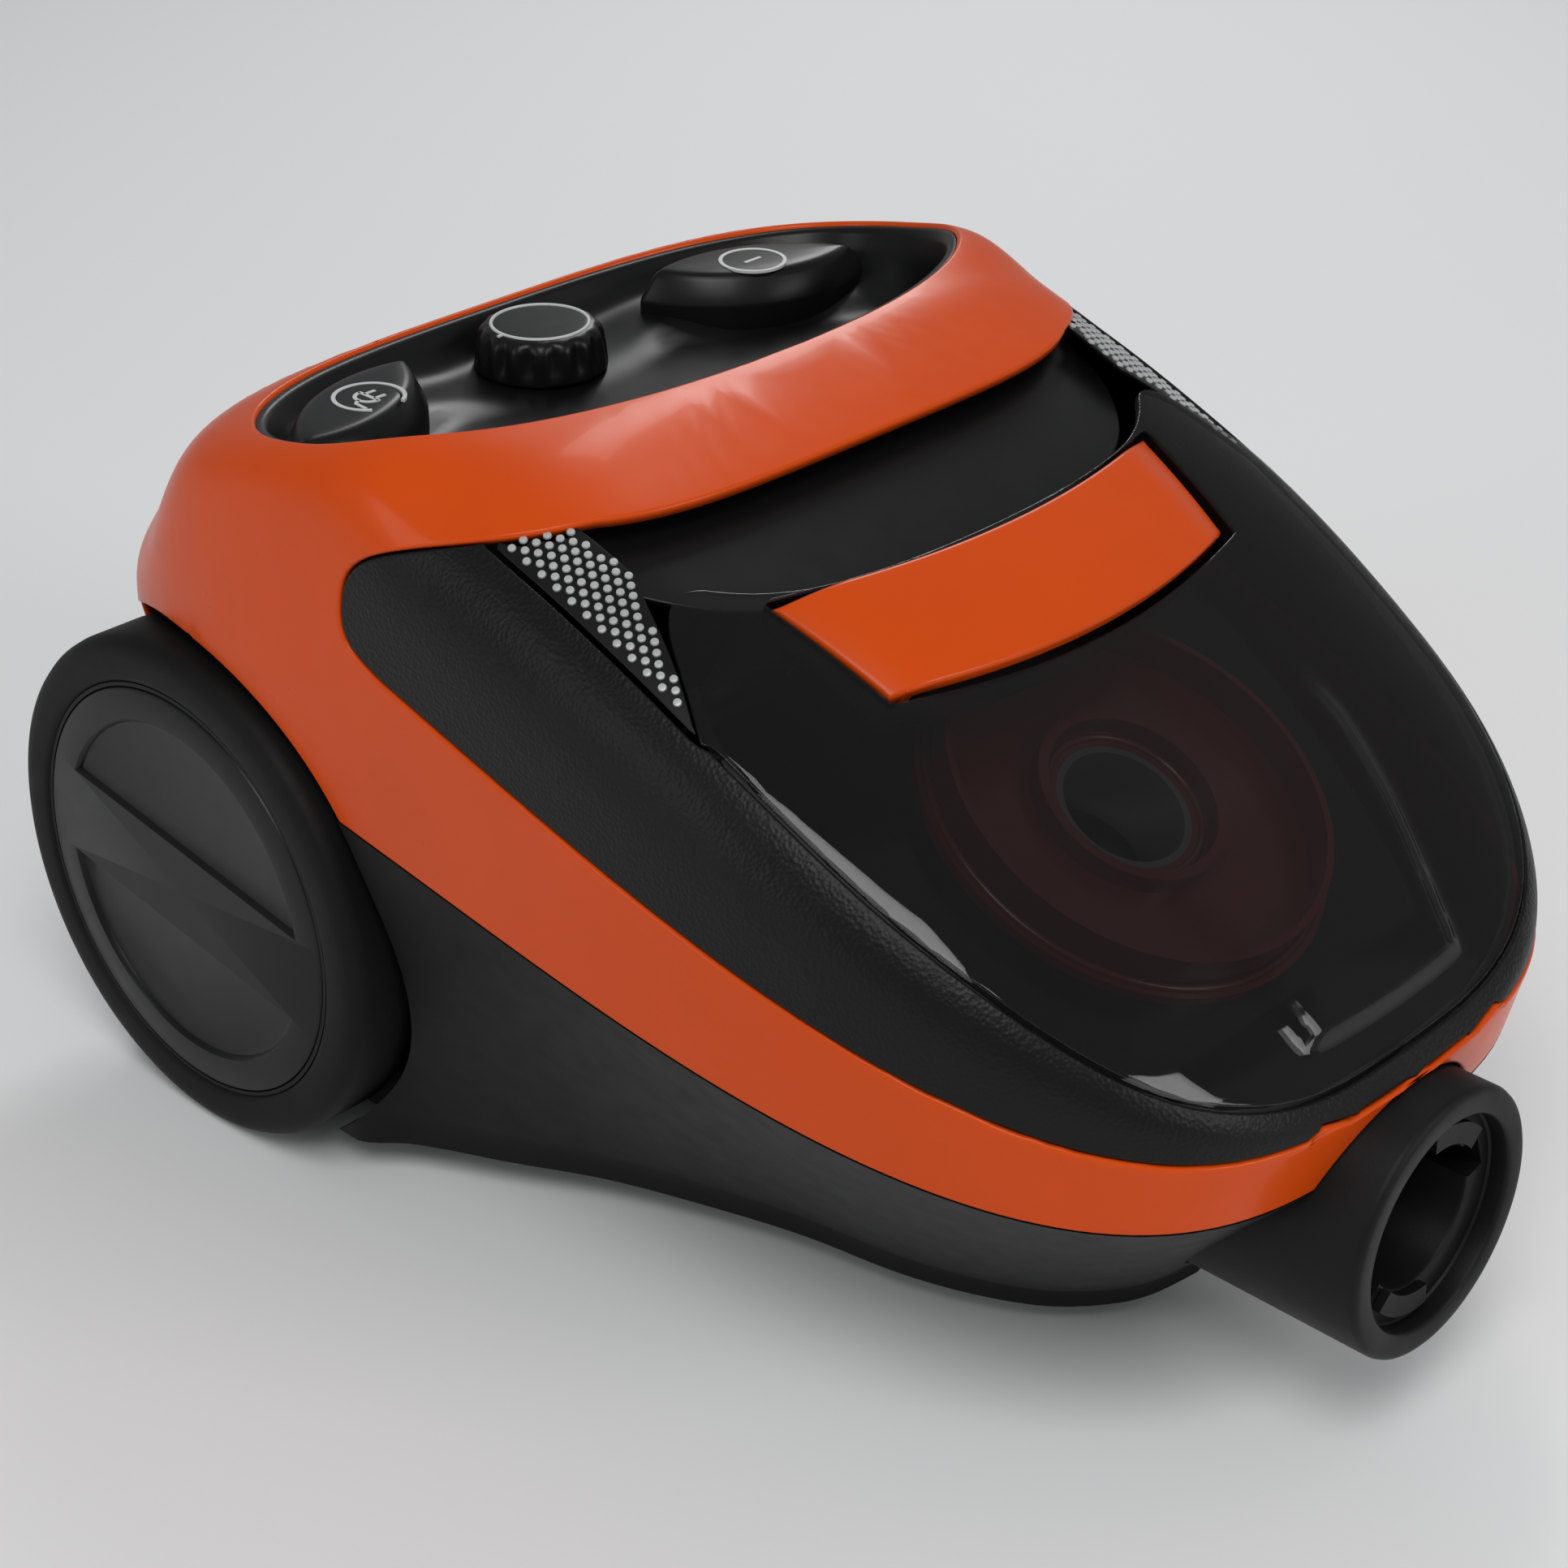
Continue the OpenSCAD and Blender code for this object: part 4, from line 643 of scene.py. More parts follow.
panel_loop = resampled(of_plan(*resampled(panel_outline(0), 3.5, True).T), 1.2, True)


def port_curve(r):
    """The port's circle on the front of the skin, open at the bottom."""
    a = np.linspace(-0.62 * math.pi, 0.62 * math.pi, 80)
    x, z = r * np.sin(a), PORT_Z + r * np.cos(a)
    yf = np.interp(np.abs(x), _fx, _fy)
    bt = band_top(yf)
    phi = np.arctan2(np.abs(x), CENTRE_Y - yf)
    rho = 1 + WALL_R * (bt - z) / (bt - band_low(yf))
    return np.stack([100 * rho * np.sin(phi) * np.sign(x), -100 * rho * np.cos(phi)], 1)


def arch_curve(side):
    a = np.linspace(math.radians(20), math.radians(160), 90)
    y, z = AXLE_Y + ARCH_R * np.cos(a), AXLE_Z + ARCH_R * np.sin(a)
    ok = (z > band_low(y) - 8) & (y < TAIL - 6)
    return of_side(y[ok], z[ok], side)


def clear_of_arch(sp):
    return (np.abs(sp[:, 0]) < ARCH_X) | (np.hypot(sp[:, 1] - AXLE_Y, sp[:, 2] - AXLE_Z) > ARCH_R)


def clear_of_port(sp, r):
    return (sp[:, 1] > -100) | (np.hypot(sp[:, 0], sp[:, 2] - PORT_Z) > r)


# ---------------------------------------------------------------- orange shell
win = window_loop(0)
rim_phi = np.linspace(0, 2 * math.pi, 361)[:-1]
bottom = 100 * (1 + WALL_R) * np.stack([np.sin(rim_phi), -np.cos(rim_phi)], 1)


def shell_keep(d, sp):
    r = np.hypot(d[:, 0], d[:, 1])
    return (r < 100 * (1 + WALL_R) + 0.01) & ~inside(win, d) & ~inside(panel_loop, d) & clear_of_arch(sp) \
        & clear_of_port(sp, PORT_R + GAP)


p, tri = triangulated([bottom, win, panel_loop], [port_curve(PORT_R + GAP), arch_curve(1.0), arch_curve(-1.0)],
                      shell_keep)
shell = piece("orange_shell", *plate(p, tri, 3.0, 1.1, on_skin=True), ORANGE, smooth=50, slot="orange_gloss")
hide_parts("upper_shell")

# ---------------------------------------------------------------- black side cover
win_in = window_loop(GAP)
cut = of_space(side_cut(GAP))


def cover_keep(d, sp):
    return inside(win_in, d) & ~inside(cut, d) & clear_of_port(sp, PORT_R + GAP)


p, tri = triangulated([win_in, cut], [port_curve(PORT_R + GAP)], cover_keep, 4.0)
side = piece("side_cover_skin", *plate(p, tri, 2.4, 0.8, inset=0.3, on_skin=True), LEATHER,
             smooth=50, slot="black_textured")
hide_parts("side_cover")

# ---------------------------------------------------------------- grilles
def grille_loop(side_sign, gap):
    v_top = REAR_V + 63
    outer_v = np.linspace(SIDE_V + 5, v_top, 24)
    inner = rounded(np.array([(bin_half - 17.5, v_top + 8), (97.5, REAR_V + 33), (99.5, REAR_V + 30.5),
                              (108, 62), (rim_end_x, SIDE_V + 5)]), False, 2)
    u = np.concatenate([np.full(24, bin_half), inner[:, 0]])
    v = np.concatenate([outer_v, inner[:, 1]])
    loop = of_bin(u, v)
    loop[:, 0] *= side_sign
    if side_sign < 0:
        loop = loop[::-1]
    return moved(resampled(loop, 2.5, True), gap)


for side_sign, word in ((-1.0, "left"), (1.0, "right")):
    g = of_space(grille_loop(side_sign, 0.2))
    p, tri = triangulated([g], [], lambda d, sp, g=g: inside(g, d) & inside(win_in, d), 3.0)
    back = piece(word + "_grille_plate", *plate(p, tri, 1.4, 0.4, inset=1.4, on_skin=True), SATIN,
                 smooth=50, slot="silver_grille")
    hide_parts(word + "_grille")
    g2 = of_space(grille_loop(side_sign, 1.4))
    pitch, dots = 3.3, []
    rows = np.arange(30, 125, pitch * 0.866)
    for i, v in enumerate(rows):
        us = side_sign * (bin_half + 4 - np.arange(0, 34, pitch) - (i % 2) * pitch / 2)
        dots.append(np.stack([us, np.full(len(us), v)], 1))
    dots = np.vstack(dots)
    pos = of_bin(dots[:, 0], dots[:, 1])
    flat = of_space(pos)
    ok = inside(g2, flat) & inside(win_in, flat)
    pos, nrm = pos[ok], skin_normals(pos[ok])
    parts = []
    for c, n in zip(pos, nrm):
        a = np.cross(n, [0, 0, 1.0])
        a /= np.linalg.norm(a)
        b = np.cross(n, a)
        ang = np.arange(10) / 10 * 2 * math.pi
        ring0 = c - n * 1.5 + 1.2 * (np.cos(ang)[:, None] * a + np.sin(ang)[:, None] * b)
        ring1 = c - n * 0.95 + 1.05 * (np.cos(ang)[:, None] * a + np.sin(ang)[:, None] * b)
        top = c - n * 0.8
        f = ring_faces(2, 10, True)
        f.append(tuple(range(9, -1, -1)))
        parts.append((np.vstack([ring0, ring1, top]), f))
    piece(word + "_grille_studs", *joined(parts), SILVER, smooth=30, slot="silver_grille")

# ---------------------------------------------------------------- neck under the visor
neck_uv = rounded(np.array([(-114, REAR_V + 61), (-99, REAR_V + 31), (-75, REAR_V + 9), (-40, REAR_V + 2.6),
                            (0, REAR_V + 1), (40, REAR_V + 2.6),
                            (75, REAR_V + 9), (99, REAR_V + 31), (114, REAR_V + 61)]), False, 3)
neck_low = of_bin(neck_uv[:, 0], neck_uv[:, 1])
neck_top_x = np.linspace(112, -112, 60)
neck_top = np.stack([neck_top_x, np.full(60, 16.5), skin_z(neck_top_x, np.full(60, 16.5))], 1)
neck_loop = of_space(resampled(np.vstack([neck_low, neck_top]), 3.0, True))
p, tri = triangulated([neck_loop], [], lambda d, sp: inside(neck_loop, d), 4.0)
neck = piece("neck_skin", *plate(p, tri, 2.4, 0.8, inset=9.0, on_skin=True), SATIN, smooth=50, slot="black_satin")
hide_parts("neck_cover")

# ---------------------------------------------------------------- clear bin cover
HF, HR, HFX, HRX = 14.3, 52.0, 69.0, 76.0


def handle_uv(grow):
    i = np.linspace(-1, 1, 41)
    front = np.stack([i * (HFX + grow), HF + 9.7 * i * i - grow], 1)
    rear = np.stack([i[::-1] * (HRX + grow), HR + 10 * i[::-1] ** 2 + grow], 1)
    return np.vstack([front, rear])


pocket = handle_uv(2.0)
pocket = rounded(resampled(pocket, 3.0, True), True, 1)
pocket3 = of_bin(pocket[:, 0], pocket[:, 1])
pocket_flat = of_space(pocket3)
cover_flat = bin_loop(GAP)
p, tri = triangulated([cover_flat, pocket_flat], [],
                      lambda d, sp: inside(cover_flat, d) & ~inside(pocket_flat, d), 2.4)


def tongue(u, v):
    """How far the raised tongue below the handle stands out of the cover."""
    side_edge = np.interp(v, [-108, -88, -64, -41, -15, 10], [35, 40, 46.5, 52, 56, 58]) - np.abs(u)
    low_edge = v + 110 - 0.0012 * u * u
    high_edge = -34 + 0.0055 * u * u - v
    rise_ = np.minimum(np.clip(side_edge / 7, 0, 1), np.clip(low_edge / 3.5, 0, 1))
    rise_ = rise_ * np.clip(high_edge / 16, 0, 1)
    return 3.2 * rise_ * rise_ * (3 - 2 * rise_)


bc = bin_coords(p)
p = p + np.outer(tongue(bc[:, 0], bc[:, 1]), [0, -math.sin(TILT), math.cos(TILT)])
pts, faces = plate(p, tri, 2.2, 0.7)
cover = piece("clear_cover", pts, faces, SMOKE, body="cover", smooth=50, slot="smoke_clear")
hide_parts("bin_cover")

# pocket behind and below the handle: a real recess in the cover, lined with opaque black satin instead of the cover's
# clear smoke, which is painted shade
wall_top = of_bin(pocket[:, 0], pocket[:, 1])
top_w = bin_coords(wall_top)[:, 2] - 1.2
POCKET_W = 178 + 22
levels = []
for f, g in ((0.0, 0.0), (0.45, 0.6), (0.8, 1.4), (0.95, 3.0), (1.0, 5.5)):
    uv = pocket * (1 - g / 60.0) + np.array([0, 35.0]) * (g / 60.0)
    levels.append(from_bin(uv[:, 0], uv[:, 1], top_w + (POCKET_W + 2 - top_w) * f))
n = len(pocket)
pts = np.vstack(levels + [np.array([from_bin(0.0, 35.0, POCKET_W + 2.0)])])
# the opaque black lining paints the shade inside the recess
piece("handle_pocket_painted_shade", pts, ring_faces(len(levels), n, True), SATIN, body="cover", smooth=60, slot="smoke_clear")

# ---------------------------------------------------------------- carrying handle
def handle_w(u):
    sag = 560 - np.sqrt(560 ** 2 - u ** 2)
    end = np.clip((np.abs(u) - 55) / 21, 0, 1)
    return 223.2 - sag - 5.5 * end * end * (1.6 - 0.6 * end)


nu, nv = 61, 15
grid = []
for j in range(nv):
    s = j / (nv - 1)
    for i in range(nu):
        a = -1 + 2 * i / (nu - 1)
        u = a * (HFX + (HRX - HFX) * s)
        v = (HF + 9.7 * a * a) * (1 - s) + (HR + 10 * a * a) * s
        grid.append((u, v, handle_w(u) - 1.2 * (2 * s - 1) ** 2 * 0.6))
grid = np.array(grid)
hp = from_bin(grid[:, 0], grid[:, 1], grid[:, 2])
htri = []
for j in range(nv - 1):
    for i in range(nu - 1):
        a, b, c, d = j * nu + i, j * nu + i + 1, (j + 1) * nu + i + 1, (j + 1) * nu + i
        htri += [(a, b, c), (a, c, d)]
ears = []
for s in (-1, 1):
    box = []
    for du, dv, dw in [(u_, v_, w_) for w_ in (206, 217) for u_, v_ in ((0, -4), (4, -4), (4, 8), (0, 8))]:
        box.append(from_bin(s * (60.6 + du), 27.0 + dv, dw))
    f = [(3, 2, 1, 0), (4, 5, 6, 7), (0, 1, 5, 4), (1, 2, 6, 5), (2, 3, 7, 6), (3, 0, 4, 7)]
    ears.append((np.array(box), f if s > 0 else [g[::-1] for g in f]))
strap = plate(hp, np.array(htri), 4.0, 1.5)
handle = piece("carry_handle", *joined([strap] + ears), ORANGE, body="handle", smooth=45, slot="orange_gloss")
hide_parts("bin_handle")

# ---------------------------------------------------------------- control panel dish
def deck(x, y):
    """Height of the dish floor: a raised deck at the back and a trough in front."""
    ax = np.abs(x)
    front = np.interp(ax, [0, 20, 45, 66, 88, 104, 125], [98, 101, 107, 100, 88, 80, 70])
    s = np.clip((y - front) / 16 + 0.5, 0, 1)
    s = s * s * (3 - 2 * s)
    up = np.clip((ax - 22) / 36, 0, 1)
    return PANEL_Z + 1.2 + s * (1.4 + 3.6 * up * up * (3 - 2 * up))


o = resampled(panel_outline(GAP), 3.0, True)
rings = []
top_z = skin_z(o[:, 0], o[:, 1])
centre = np.array([0, PANEL_Y])
for inset, f in ((0, 0), (0.7, 0.0), (2.2, 0.02), (3.0, 0.12), (5, 0.45), (7.5, 0.75), (11, 0.93), (16, 1.0)):
    q = centre + (o - centre) * (1 - inset / np.array([PANEL_X, PANEL_HY]))
    fz = deck(q[:, 0], q[:, 1])
    rings.append(np.stack([q[:, 0], q[:, 1], (top_z - 1.6) * (1 - f) + fz * f], 1))
n = len(o)
for k in range(1, 15):
    q = centre + (rings[7][:, :2] - centre) * (1 - k / 15)
    rings.append(np.stack([q[:, 0], q[:, 1], deck(q[:, 0], q[:, 1])], 1))
pts = np.vstack(rings + [np.array([[0, PANEL_Y, float(deck(0.0, PANEL_Y))]])])
dish = piece("control_dish", pts, ring_faces(len(rings), n, True), SATIN, smooth=60, slot="black_satin")
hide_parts("control_panel")

# ---------------------------------------------------------------- knob
KX, KY, KZ, KR = 0.0, 116.0, PANEL_Z + 3.0, 20.0
m = 150
ka = np.arange(m) / m * 2 * math.pi
levels = []
for f, r, scallop in ((0.0, KR - 0.4, 0.0), (0.3, KR, 0.0), (1.2, KR, 0.0), (3.2, KR - 0.1, 0.9),
                      (6.0, KR - 0.4, 1.5), (9.5, KR - 0.9, 1.5),
                      (11.3, KR - 1.6, 1.0), (12.4, KR - 2.7, 0.4), (13.1, KR - 4.2, 0.0),
                      (13.3, KR - 7, 0.0), (13.35, 8, 0.0), (13.4, 3, 0.0)):
    rr = r - scallop * (0.5 + 0.5 * np.cos(15 * ka)) ** 1.4
    levels.append(np.stack([KX + rr * np.cos(ka), KY + rr * np.sin(ka), np.full(m, KZ + f)], 1))
pts = np.vstack(levels + [np.array([[KX, KY, KZ + 13.4], [KX, KY, KZ]])])
faces = ring_faces(len(levels), m, True)
faces += [(len(levels) * m + 1, (i + 1) % m, i) for i in range(m)]
knob = piece("knob_body", pts, faces, SATIN, body="knob", smooth=60, slot="black_satin")
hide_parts("suction_knob")
ring_r = 14.6
mark = lathe([(ring_r - 0.55, 13.2), (ring_r - 0.4, 13.62), (ring_r + 0.4, 13.62), (ring_r + 0.55, 13.2)],
             (KX, KY, KZ), "z", 96)
tick = (np.array([(-16.8, -0.5, 13.0), (-14.4, -0.5, 13.1), (-14.4, 0.5, 13.1), (-16.8, 0.5, 13.0),
                  (-16.8, -0.5, 13.45), (-14.4, -0.5, 13.62), (-14.4, 0.5, 13.62), (-16.8, 0.5, 13.45)]) + [KX, KY, KZ],
        [(3, 2, 1, 0), (4, 5, 6, 7), (0, 1, 5, 4), (1, 2, 6, 5), (2, 3, 7, 6), (3, 0, 4, 7)])
knob_mark = piece("knob_mark", *joined([mark, tick]), WHITE, body="knob", slot="white_mark")
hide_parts("knob_ring")


# ---------------------------------------------------------------- push buttons
def boat_outline(length, width, count=96):
    """Two arcs that meet in points, with the points rounded off."""
    radius = (length * length + width * width) / (4 * width)
    half = math.asin(length / 2 / radius)
    a = np.linspace(-half, half, count // 2, endpoint=False)
    low = np.stack([radius * np.sin(a), radius - width / 2 - radius * np.cos(a)], 1)
    line = np.vstack([low, -low])
    return resampled(rounded(line, True, 2), 1.6, True)


def push_button(name, x, y, length, width, top, body, turn):
    o = boat_outline(length, width)
    n = len(o)
    ct, st = math.cos(math.radians(turn)), math.sin(math.radians(turn))
    levels = []
    for inset, z in ((0.0, -22.0), (0.0, -10.0), (0.3, -8.8), (1.6, -6.0), (3.4, -2.6), (4.4, -1.2),
                     (5.6, -0.35), (7.2, 0.0), (10.0, 0.2), (14.0, 0.3)):
        k = max(1 - inset / (width / 2), 0.05)
        kl = max(1 - inset * 1.25 / (length / 2), 0.05)
        q = o * [kl, k]
        levels.append(np.stack([x + q[:, 0] * ct - q[:, 1] * st, y + q[:, 0] * st + q[:, 1] * ct,
                                np.full(n, top + z)], 1))
    pts = np.vstack(levels + [np.array([[x, y, top + 0.32]])])
    return piece(name, pts, ring_faces(len(levels), n, True), SATIN, body=body, smooth=55, slot="black_satin")


BTN_X, BTN_Y, BTN_TOP = 80.0, 105.0, PANEL_Z + 18.6
power = push_button("power_button_cap", BTN_X, BTN_Y, 76, 34, BTN_TOP, "power_button", -25)
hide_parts("power_button")
rewind = push_button("rewind_button_cap", -BTN_X, BTN_Y, 76, 34, BTN_TOP, "rewind_button", 25)
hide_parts("rewind_button")


def stroke(points, width, z0, z1):
    """A flat raised line through plan points."""
    p = np.asarray(points, float)
    t = np.gradient(p, axis=0)
    t /= np.maximum(np.linalg.norm(t, axis=1, keepdims=True), 1e-9)
    nrm = np.stack([-t[:, 1], t[:, 0]], 1) * width / 2
    n = len(p)
    ring = [np.hstack([p + nrm, np.full((n, 1), z0)]), np.hstack([p + nrm, np.full((n, 1), z1)]),
            np.hstack([p - nrm, np.full((n, 1), z1)]), np.hstack([p - nrm, np.full((n, 1), z0)])]
    faces = []
    for i in range(n - 1):
        for k in range(4):
            l = (k + 1) % 4
            faces.append((k * n + i, l * n + i, l * n + i + 1, k * n + i + 1))
    faces += [(0, n, 2 * n, 3 * n), (4 * n - 1, 3 * n - 1, 2 * n - 1, n - 1)]
    return np.vstack(ring), [f[::-1] for f in faces]


def arc(cx, cy, r, a0, a1, n=64):
    a = np.radians(np.linspace(a0, a1, n))
    return np.stack([cx + r * np.cos(a), cy + r * np.sin(a)], 1)


z0, z1 = BTN_TOP - 0.3, BTN_TOP + 0.5
gx, BTN_Y = 77.0, 102.5
power_mark = joined([stroke(arc(gx, BTN_Y, 10.0, 0, 360, 90), 1.2, z0, z1),
                     stroke(np.array([(gx - 3.4, BTN_Y), (gx, BTN_Y), (gx + 3.4, BTN_Y)]), 1.2, z0, z1)])
piece("power_mark", *power_mark, WHITE, body="power_button", slot="white_mark")
gx = -77.0
plug = [stroke(arc(gx, BTN_Y, 10.0, -60, 235, 80), 1.2, z0, z1),
        stroke(arc(gx, BTN_Y, 4.0, 90, 270, 24), 1.2, z0, z1),
        stroke(np.array([(gx, BTN_Y - 4.4), (gx, BTN_Y), (gx, BTN_Y + 4.4)]), 1.2, z0, z1),
        stroke(np.array([(gx, BTN_Y + 2.2), (gx + 2, BTN_Y + 2.2), (gx + 4, BTN_Y + 2.2)]), 1.1, z0, z1),
        stroke(np.array([(gx, BTN_Y - 2.2), (gx + 2, BTN_Y - 2.2), (gx + 4, BTN_Y - 2.2)]), 1.1, z0, z1),
        stroke(np.array([(gx - 4, BTN_Y), (gx - 6, BTN_Y - 1.5), (gx - 6.4, BTN_Y - 6.4)]), 1.1, z0, z1)]
piece("rewind_mark", *joined(plug), WHITE, body="rewind_button", slot="white_mark")

# ---------------------------------------------------------------- hose port
BORE = 21.0
prof = [(PORT_R, 62), (PORT_R, 2.2), (PORT_R - 0.5, 0.9), (PORT_R - 1.6, 0.1), (PORT_R - 2.6, 0),
        (PORT_R - 7.0, 0), (PORT_R - 7.6, 0.4),
        (PORT_R - 8.0, 1.2), (PORT_R - 8.0, 5.6), (PORT_R - 8.6, 6.2), (BORE + 4.4, 6.2), (BORE + 1.0, 6.3),
        (BORE + 0.3, 6.7), (BORE, 7.4), (BORE, 30),
        (BORE - 0.6, 31), (BORE - 3, 31.4), (17.0, 48), (17.0, 62)]
port = helper(*lathe(prof, (0, PORT_MOUTH, PORT_Z), "y", 160))
for a0 in (20, 200):
    a = math.radians(a0)
    ca, sa = math.cos(a), math.sin(a)
    box = []
    for r, t in ((BORE - 2.5, -6.2), (BORE + 5.4, -6.8), (BORE + 5.4, 6.8), (BORE - 2.5, 6.2)):
        box.append((r * ca - t * sa, r * sa + t * ca))
    pts = np.array([(x, PORT_MOUTH + y, PORT_Z + z) for y in (4.0, 20.0) for x, z in box])
    cutter = helper(pts, BLOCK)
    boolean(port, cutter, "DIFFERENCE")
    drop(cutter)
# inner guide ribs of the bayonet
ribs = []
for a0 in (68, 248):
    a = np.radians(np.linspace(a0 - 26, a0 + 26, 30))
    sec = [(BORE + 0.5, 6.0), (BORE + 0.5, 3.4), (BORE + 6.6, 3.4), (BORE + 6.6, 6.0)]
    pts = np.array([(r * math.cos(t), PORT_MOUTH + h, PORT_Z + r * math.sin(t)) for r, h in sec for t in a])
    f = [(k * 30 + i, k * 30 + i + 1, ((k + 1) % 4) * 30 + i + 1, ((k + 1) % 4) * 30 + i)
         for k in range(4) for i in range(29)]
    f += [(0, 30, 60, 90), (119, 89, 59, 29)]
    ribs.append((pts, f))
rib = helper(*joined(ribs))
boolean(port, rib, "UNION")
drop(rib)


def finished(obj, name, material_, body, smooth=35):
    obj.name = name
    obj.data.materials.clear()
    obj.data.materials.append(material_)
    for f in obj.data.polygons:
        f.use_smooth = True
        f.material_index = 0
    obj.data.set_sharp_from_angle(angle=math.radians(smooth))
    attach(obj, body)
    return obj


finished(port, "port_collar", BLACK, "chassis")
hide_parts("inlet_port")

# ---------------------------------------------------------------- base hull
hull_nose, hull_tail = NOSE + 63, TAIL - 12
hull_w = pchip([0, 3, 10, 25, 59, 90, 120, 150, 177, 205, 219, 300, 330, 345, 351],
               [0, 17, 30, 44, 58, 64, 73, 84, 98, 112, 122, 118, 104, 80, 0])
hull_len = hull_tail - hull_nose
bulge = pchip([0, 0.05, 0.12, 0.5, 1], [0, 0.0, 0.07, 0.47, 1])


def hull(inset, lift, rings=26, n=240):
    share_y = (lambda y: hull_nose + (y - NOSE) / (TAIL - NOSE) * hull_len)
    phi = np.linspace(0, 2 * math.pi, n, endpoint=False)
    fold = np.where(phi <= math.pi, phi, 2 * math.pi - phi)
    sgn = np.where(phi <= math.pi, 1.0, -1.0)
    r = np.interp(fold, PHIS, RADS)
    top = np.stack([sgn * r * np.sin(fold), CENTRE_Y - r * np.cos(fold)], 1)
    yb = share_y(top[:, 1])
    bot = np.stack([sgn * np.minimum(hull_w((yb - hull_nose) * 351 / hull_len), 200), yb], 1)
    c = np.array([0, CENTRE_Y])
    top = c + (top - c) * (1 - (DRAFT + inset) / HALF_W)
    bot = c + (bot - c) * (1 - 1.6 * inset / HALF_W)
    pts = []
    for k in range(rings + 1):
        level = k / rings
        q = bot + (top - bot) * bulge(level)
        z = FLOOR + (band_low(top[:, 1]) - FLOOR) * level
        pts.append(np.stack([q[:, 0], q[:, 1], z + lift], 1))
    faces = ring_faces(rings + 1, n)
    faces += [tuple(range(n - 1, -1, -1)), tuple(range(rings * n, (rings + 1) * n))]
    return np.vstack(pts), faces


base = helper(*hull(0, 0))
outer = helper(*hull(0.4, 0))
inner = helper(*hull(3.0, 3.0))
boolean(base, inner, "DIFFERENCE")
for s in (-1, 1):
    start = 0 if s > 0 else -60
    liner = rod(ARCH_R + 3, s * 103, s * 150, (0, AXLE_Y, AXLE_Z), "x", 160)
    boolean(liner, outer, "INTERSECT")
    boolean(base, liner, "UNION")
    space = rod(ARCH_R, s * ARCH_X, s * 160, (0, AXLE_Y, AXLE_Z), "x", 160)
    boolean(base, space, "DIFFERENCE")
    drop(liner, space)
port_space = rod(PORT_R + GAP, -20, 70, (0, NOSE, PORT_Z), "y", 128)
boolean(base, port_space, "DIFFERENCE")
well = rod(32, 0, 43, (0, -80, 0), "z", 96)
roof_well = rod(35, 13, 46, (0, -80, 0), "z", 96)
boolean(base, roof_well, "UNION")
boolean(base, well, "DIFFERENCE")
hatch = np.array([(x, y, z) for y in (TAIL - 40, TAIL + 20)
                  for x, z in ((-52.6, 49.4), (52.6, 49.4), (52.6, 112.6), (-52.6, 112.6))])
hatch_cut = helper(hatch, BLOCK)
boolean(base, hatch_cut, "DIFFERENCE")
bush_cut = rod(8, -60, 20, (-76, TAIL, 122), "y", 64)
boolean(base, bush_cut, "DIFFERENCE")
drop(outer, inner, port_space, well, roof_well, hatch_cut, bush_cut)

# ---------------------------------------------------------------- exhaust cover, flush with the hull
vent = helper(np.array([(x, y, z) for y in (TAIL - 60, TAIL + 20)
                        for x, z in ((-52, 50), (52, 50), (52, 112), (-52, 112))]),
              BLOCK)
vent_skin, vent_back = helper(*hull(0.3, 0)), helper(*hull(3.0, 0))
boolean(vent, vent_skin, "INTERSECT")
boolean(vent, vent_back, "DIFFERENCE")
slots_cut = []
for column in (-33, -11, 11, 33):
    for row in range(6):
        z_mid = 58 + row * 9.2
        slots_cut.append((np.array([(column + x, y, z_mid + z) for y in (TAIL - 70, TAIL + 30)
                                    for x, z in ((-9, -2), (9, -2), (9, 2), (-9, 2))]),
                          BLOCK))
slots_cut = helper(*joined(slots_cut))
boolean(vent, slots_cut, "DIFFERENCE")
drop(vent_skin, vent_back, slots_cut)
finished(vent, "exhaust_grille", SATIN, "exhaust", 30)
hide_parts("exhaust_cover")
finished(base, "base_hull", BLACK, "chassis", 30)
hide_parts("base_shell")

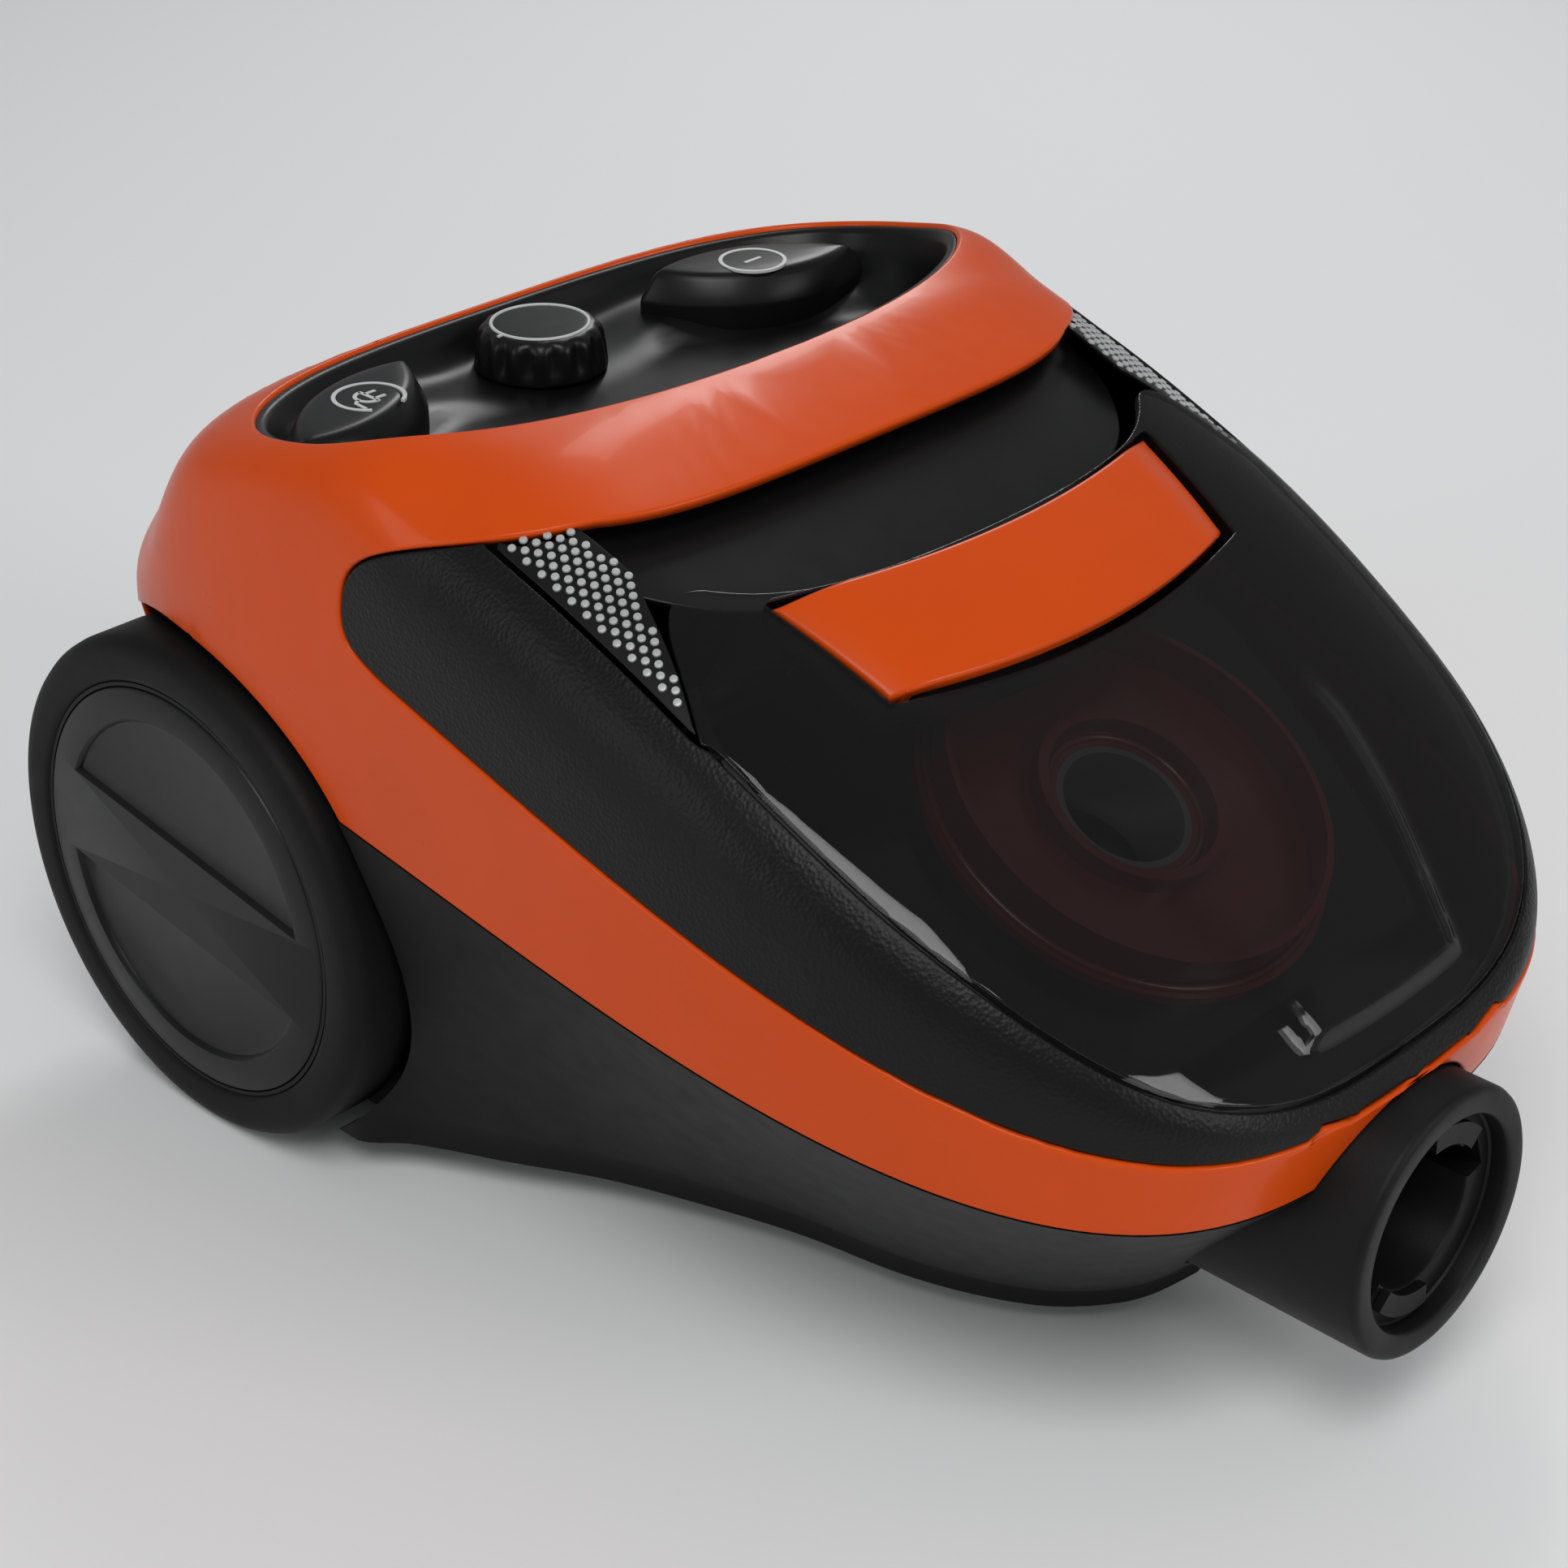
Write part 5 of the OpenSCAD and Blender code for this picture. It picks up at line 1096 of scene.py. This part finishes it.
# ---------------------------------------------------------------- wheels
CAP = 80 - 14 - 1.4
for side_sign, word in ((-1, "left"), (1, "right")):
    s = side_sign
    tyre = [(66, 110), (76, 110), (78, 110.4), (79.3, 111.6), (80, 113.6), (80, 130),
            (79.6, 132.4), (78.4, 134.4), (76.4, 135.6), (74, 136),
            (68.2, 136), (67.2, 135.7), (66.4, 135), (66, 134)]
    t = piece(word + "_tyre_body",
              *lathe([(r, s * x) for r, x in (tyre if s < 0 else tyre[::-1])], (0, AXLE_Y, AXLE_Z), "x", 192), TYRE,
              body=word + "_wheel", smooth=50, slot="tyre_rubber")
    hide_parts(word + "_tyre")
    cap = [(0.01, 131.2), (CAP, 131.2), (CAP, 134.4), (CAP - 0.4, 135.1), (CAP - 1.2, 135.5), (0.01, 135.5)]
    cap_obj = helper(*lathe([(r, s * x) for r, x in cap], (0, AXLE_Y, AXLE_Z), "x", 192))
    turn = math.radians(9)
    ct, st = math.cos(turn), math.sin(turn)
    for half in (1, -1):
        # a half-moon recess: straight side by the bar, round side by the rim
        R = CAP - 10
        levels = []
        for grow, depth in ((0.0, 137.0), (0.0, 135.6), (-0.7, 135.0), (-1.4, 133.9), (-2.6, 133.6)):
            a0 = math.asin((14.5 - grow) / (R + grow))
            a = np.linspace(a0, math.pi - a0, 70)
            arc_pts = np.stack([(R + grow) * np.cos(a), (R + grow) * np.sin(a)], 1)
            line = np.stack([np.linspace(arc_pts[-1, 0], arc_pts[0, 0], 50)[1:-1], np.full(48, 14.5 - grow)], 1)
            loop = np.vstack([arc_pts, line])
            y = half * (loop[:, 0] * ct - loop[:, 1] * st)
            z = half * (loop[:, 0] * st + loop[:, 1] * ct)
            levels.append(np.stack([np.full(len(loop), s * depth), AXLE_Y + y, AXLE_Z + z], 1))
        n = len(levels[0])
        faces = ring_faces(5, n)
        faces += [tuple(range(n)), tuple(range(4 * n, 5 * n))[::-1]]
        moon = helper(np.vstack(levels), faces)
        boolean(cap_obj, moon, "DIFFERENCE")
        drop(moon)
    finished(cap_obj, word + "_cap_disc", SATIN, word + "_wheel", 28)
    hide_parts(word + "_hubcap")

# ---------------------------------------------------------------- red rim of the cyclone lid, seen through the cover
LID_W = 178 + 2.4 + 0.4


def bin_ring(r, w, tube, squash=1.0):
    a = np.arange(96) / 96 * 2 * math.pi
    b = np.arange(10) / 10 * 2 * math.pi
    pts, faces = [], []
    for i, t in enumerate(a):
        for k in b:
            rr = r + tube * math.cos(k)
            pts.append(from_bin(rr * math.cos(t), -21.0 + rr * math.sin(t) * squash, w + tube * math.sin(k)))
    for i in range(96):
        for k in range(10):
            faces.append((i * 10 + k, ((i + 1) % 96) * 10 + k, ((i + 1) % 96) * 10 + (k + 1) % 10,
                          i * 10 + (k + 1) % 10))
    return np.array(pts), faces


piece("lid_rim", *bin_ring(58.0, LID_W + 3.0, 1.3), RED, body="bin", smooth=60, slot="red_plastic")
piece("lid_inner_rim", *bin_ring(23.0, LID_W + 3.2, 1.1), RED, body="bin", smooth=60, slot="red_plastic")

# ---------------------------------------------------------------- floor and light
bpy.ops.mesh.primitive_plane_add(size=12, location=(0, 0, -0.0003))
floor = bpy.context.object
floor.name = "floor"
fm = bpy.data.materials.new("floor")
fm.use_nodes = True
fm.node_tree.nodes["Principled BSDF"].inputs["Base Color"].default_value = (0.86, 0.86, 0.86, 1)
fm.node_tree.nodes["Principled BSDF"].inputs["Roughness"].default_value = 0.9
floor.data.materials.append(fm)
world = bpy.data.worlds.new("world")
bpy.context.scene.world = world
world.use_nodes = True
world.node_tree.nodes["Background"].inputs["Color"].default_value = (0.95, 0.97, 1.0, 1)
world.node_tree.nodes["Background"].inputs["Strength"].default_value = 0.3


def softbox(name, at, aim, size, power, colour=(1, 1, 1), size_y=None):
    data = bpy.data.lights.new(name, "AREA")
    data.shape = "RECTANGLE"
    data.size, data.size_y = size, size_y or size
    data.energy, data.color = power, colour
    obj = bpy.data.objects.new(name, data)
    bpy.context.scene.collection.objects.link(obj)
    obj.location = at
    obj.rotation_euler = (Vector(aim) - Vector(at)).to_track_quat("-Z", "Y").to_euler()
    return obj


softbox("key", (-0.9, -0.8, 1.7), (0, 0, 0.1), 0.9, 16)
softbox("front", (0.5, -1.8, 0.9), (0, -0.1, 0.1), 0.7, 9)
softbox("side", (-1.9, 0.5, 0.7), (0, 0, 0.1), 0.5, 5, size_y=1.2)
softbox("strip", (1.2, 0.9, 1.4), (0, 0, 0.2), 0.25, 9, size_y=1.3)
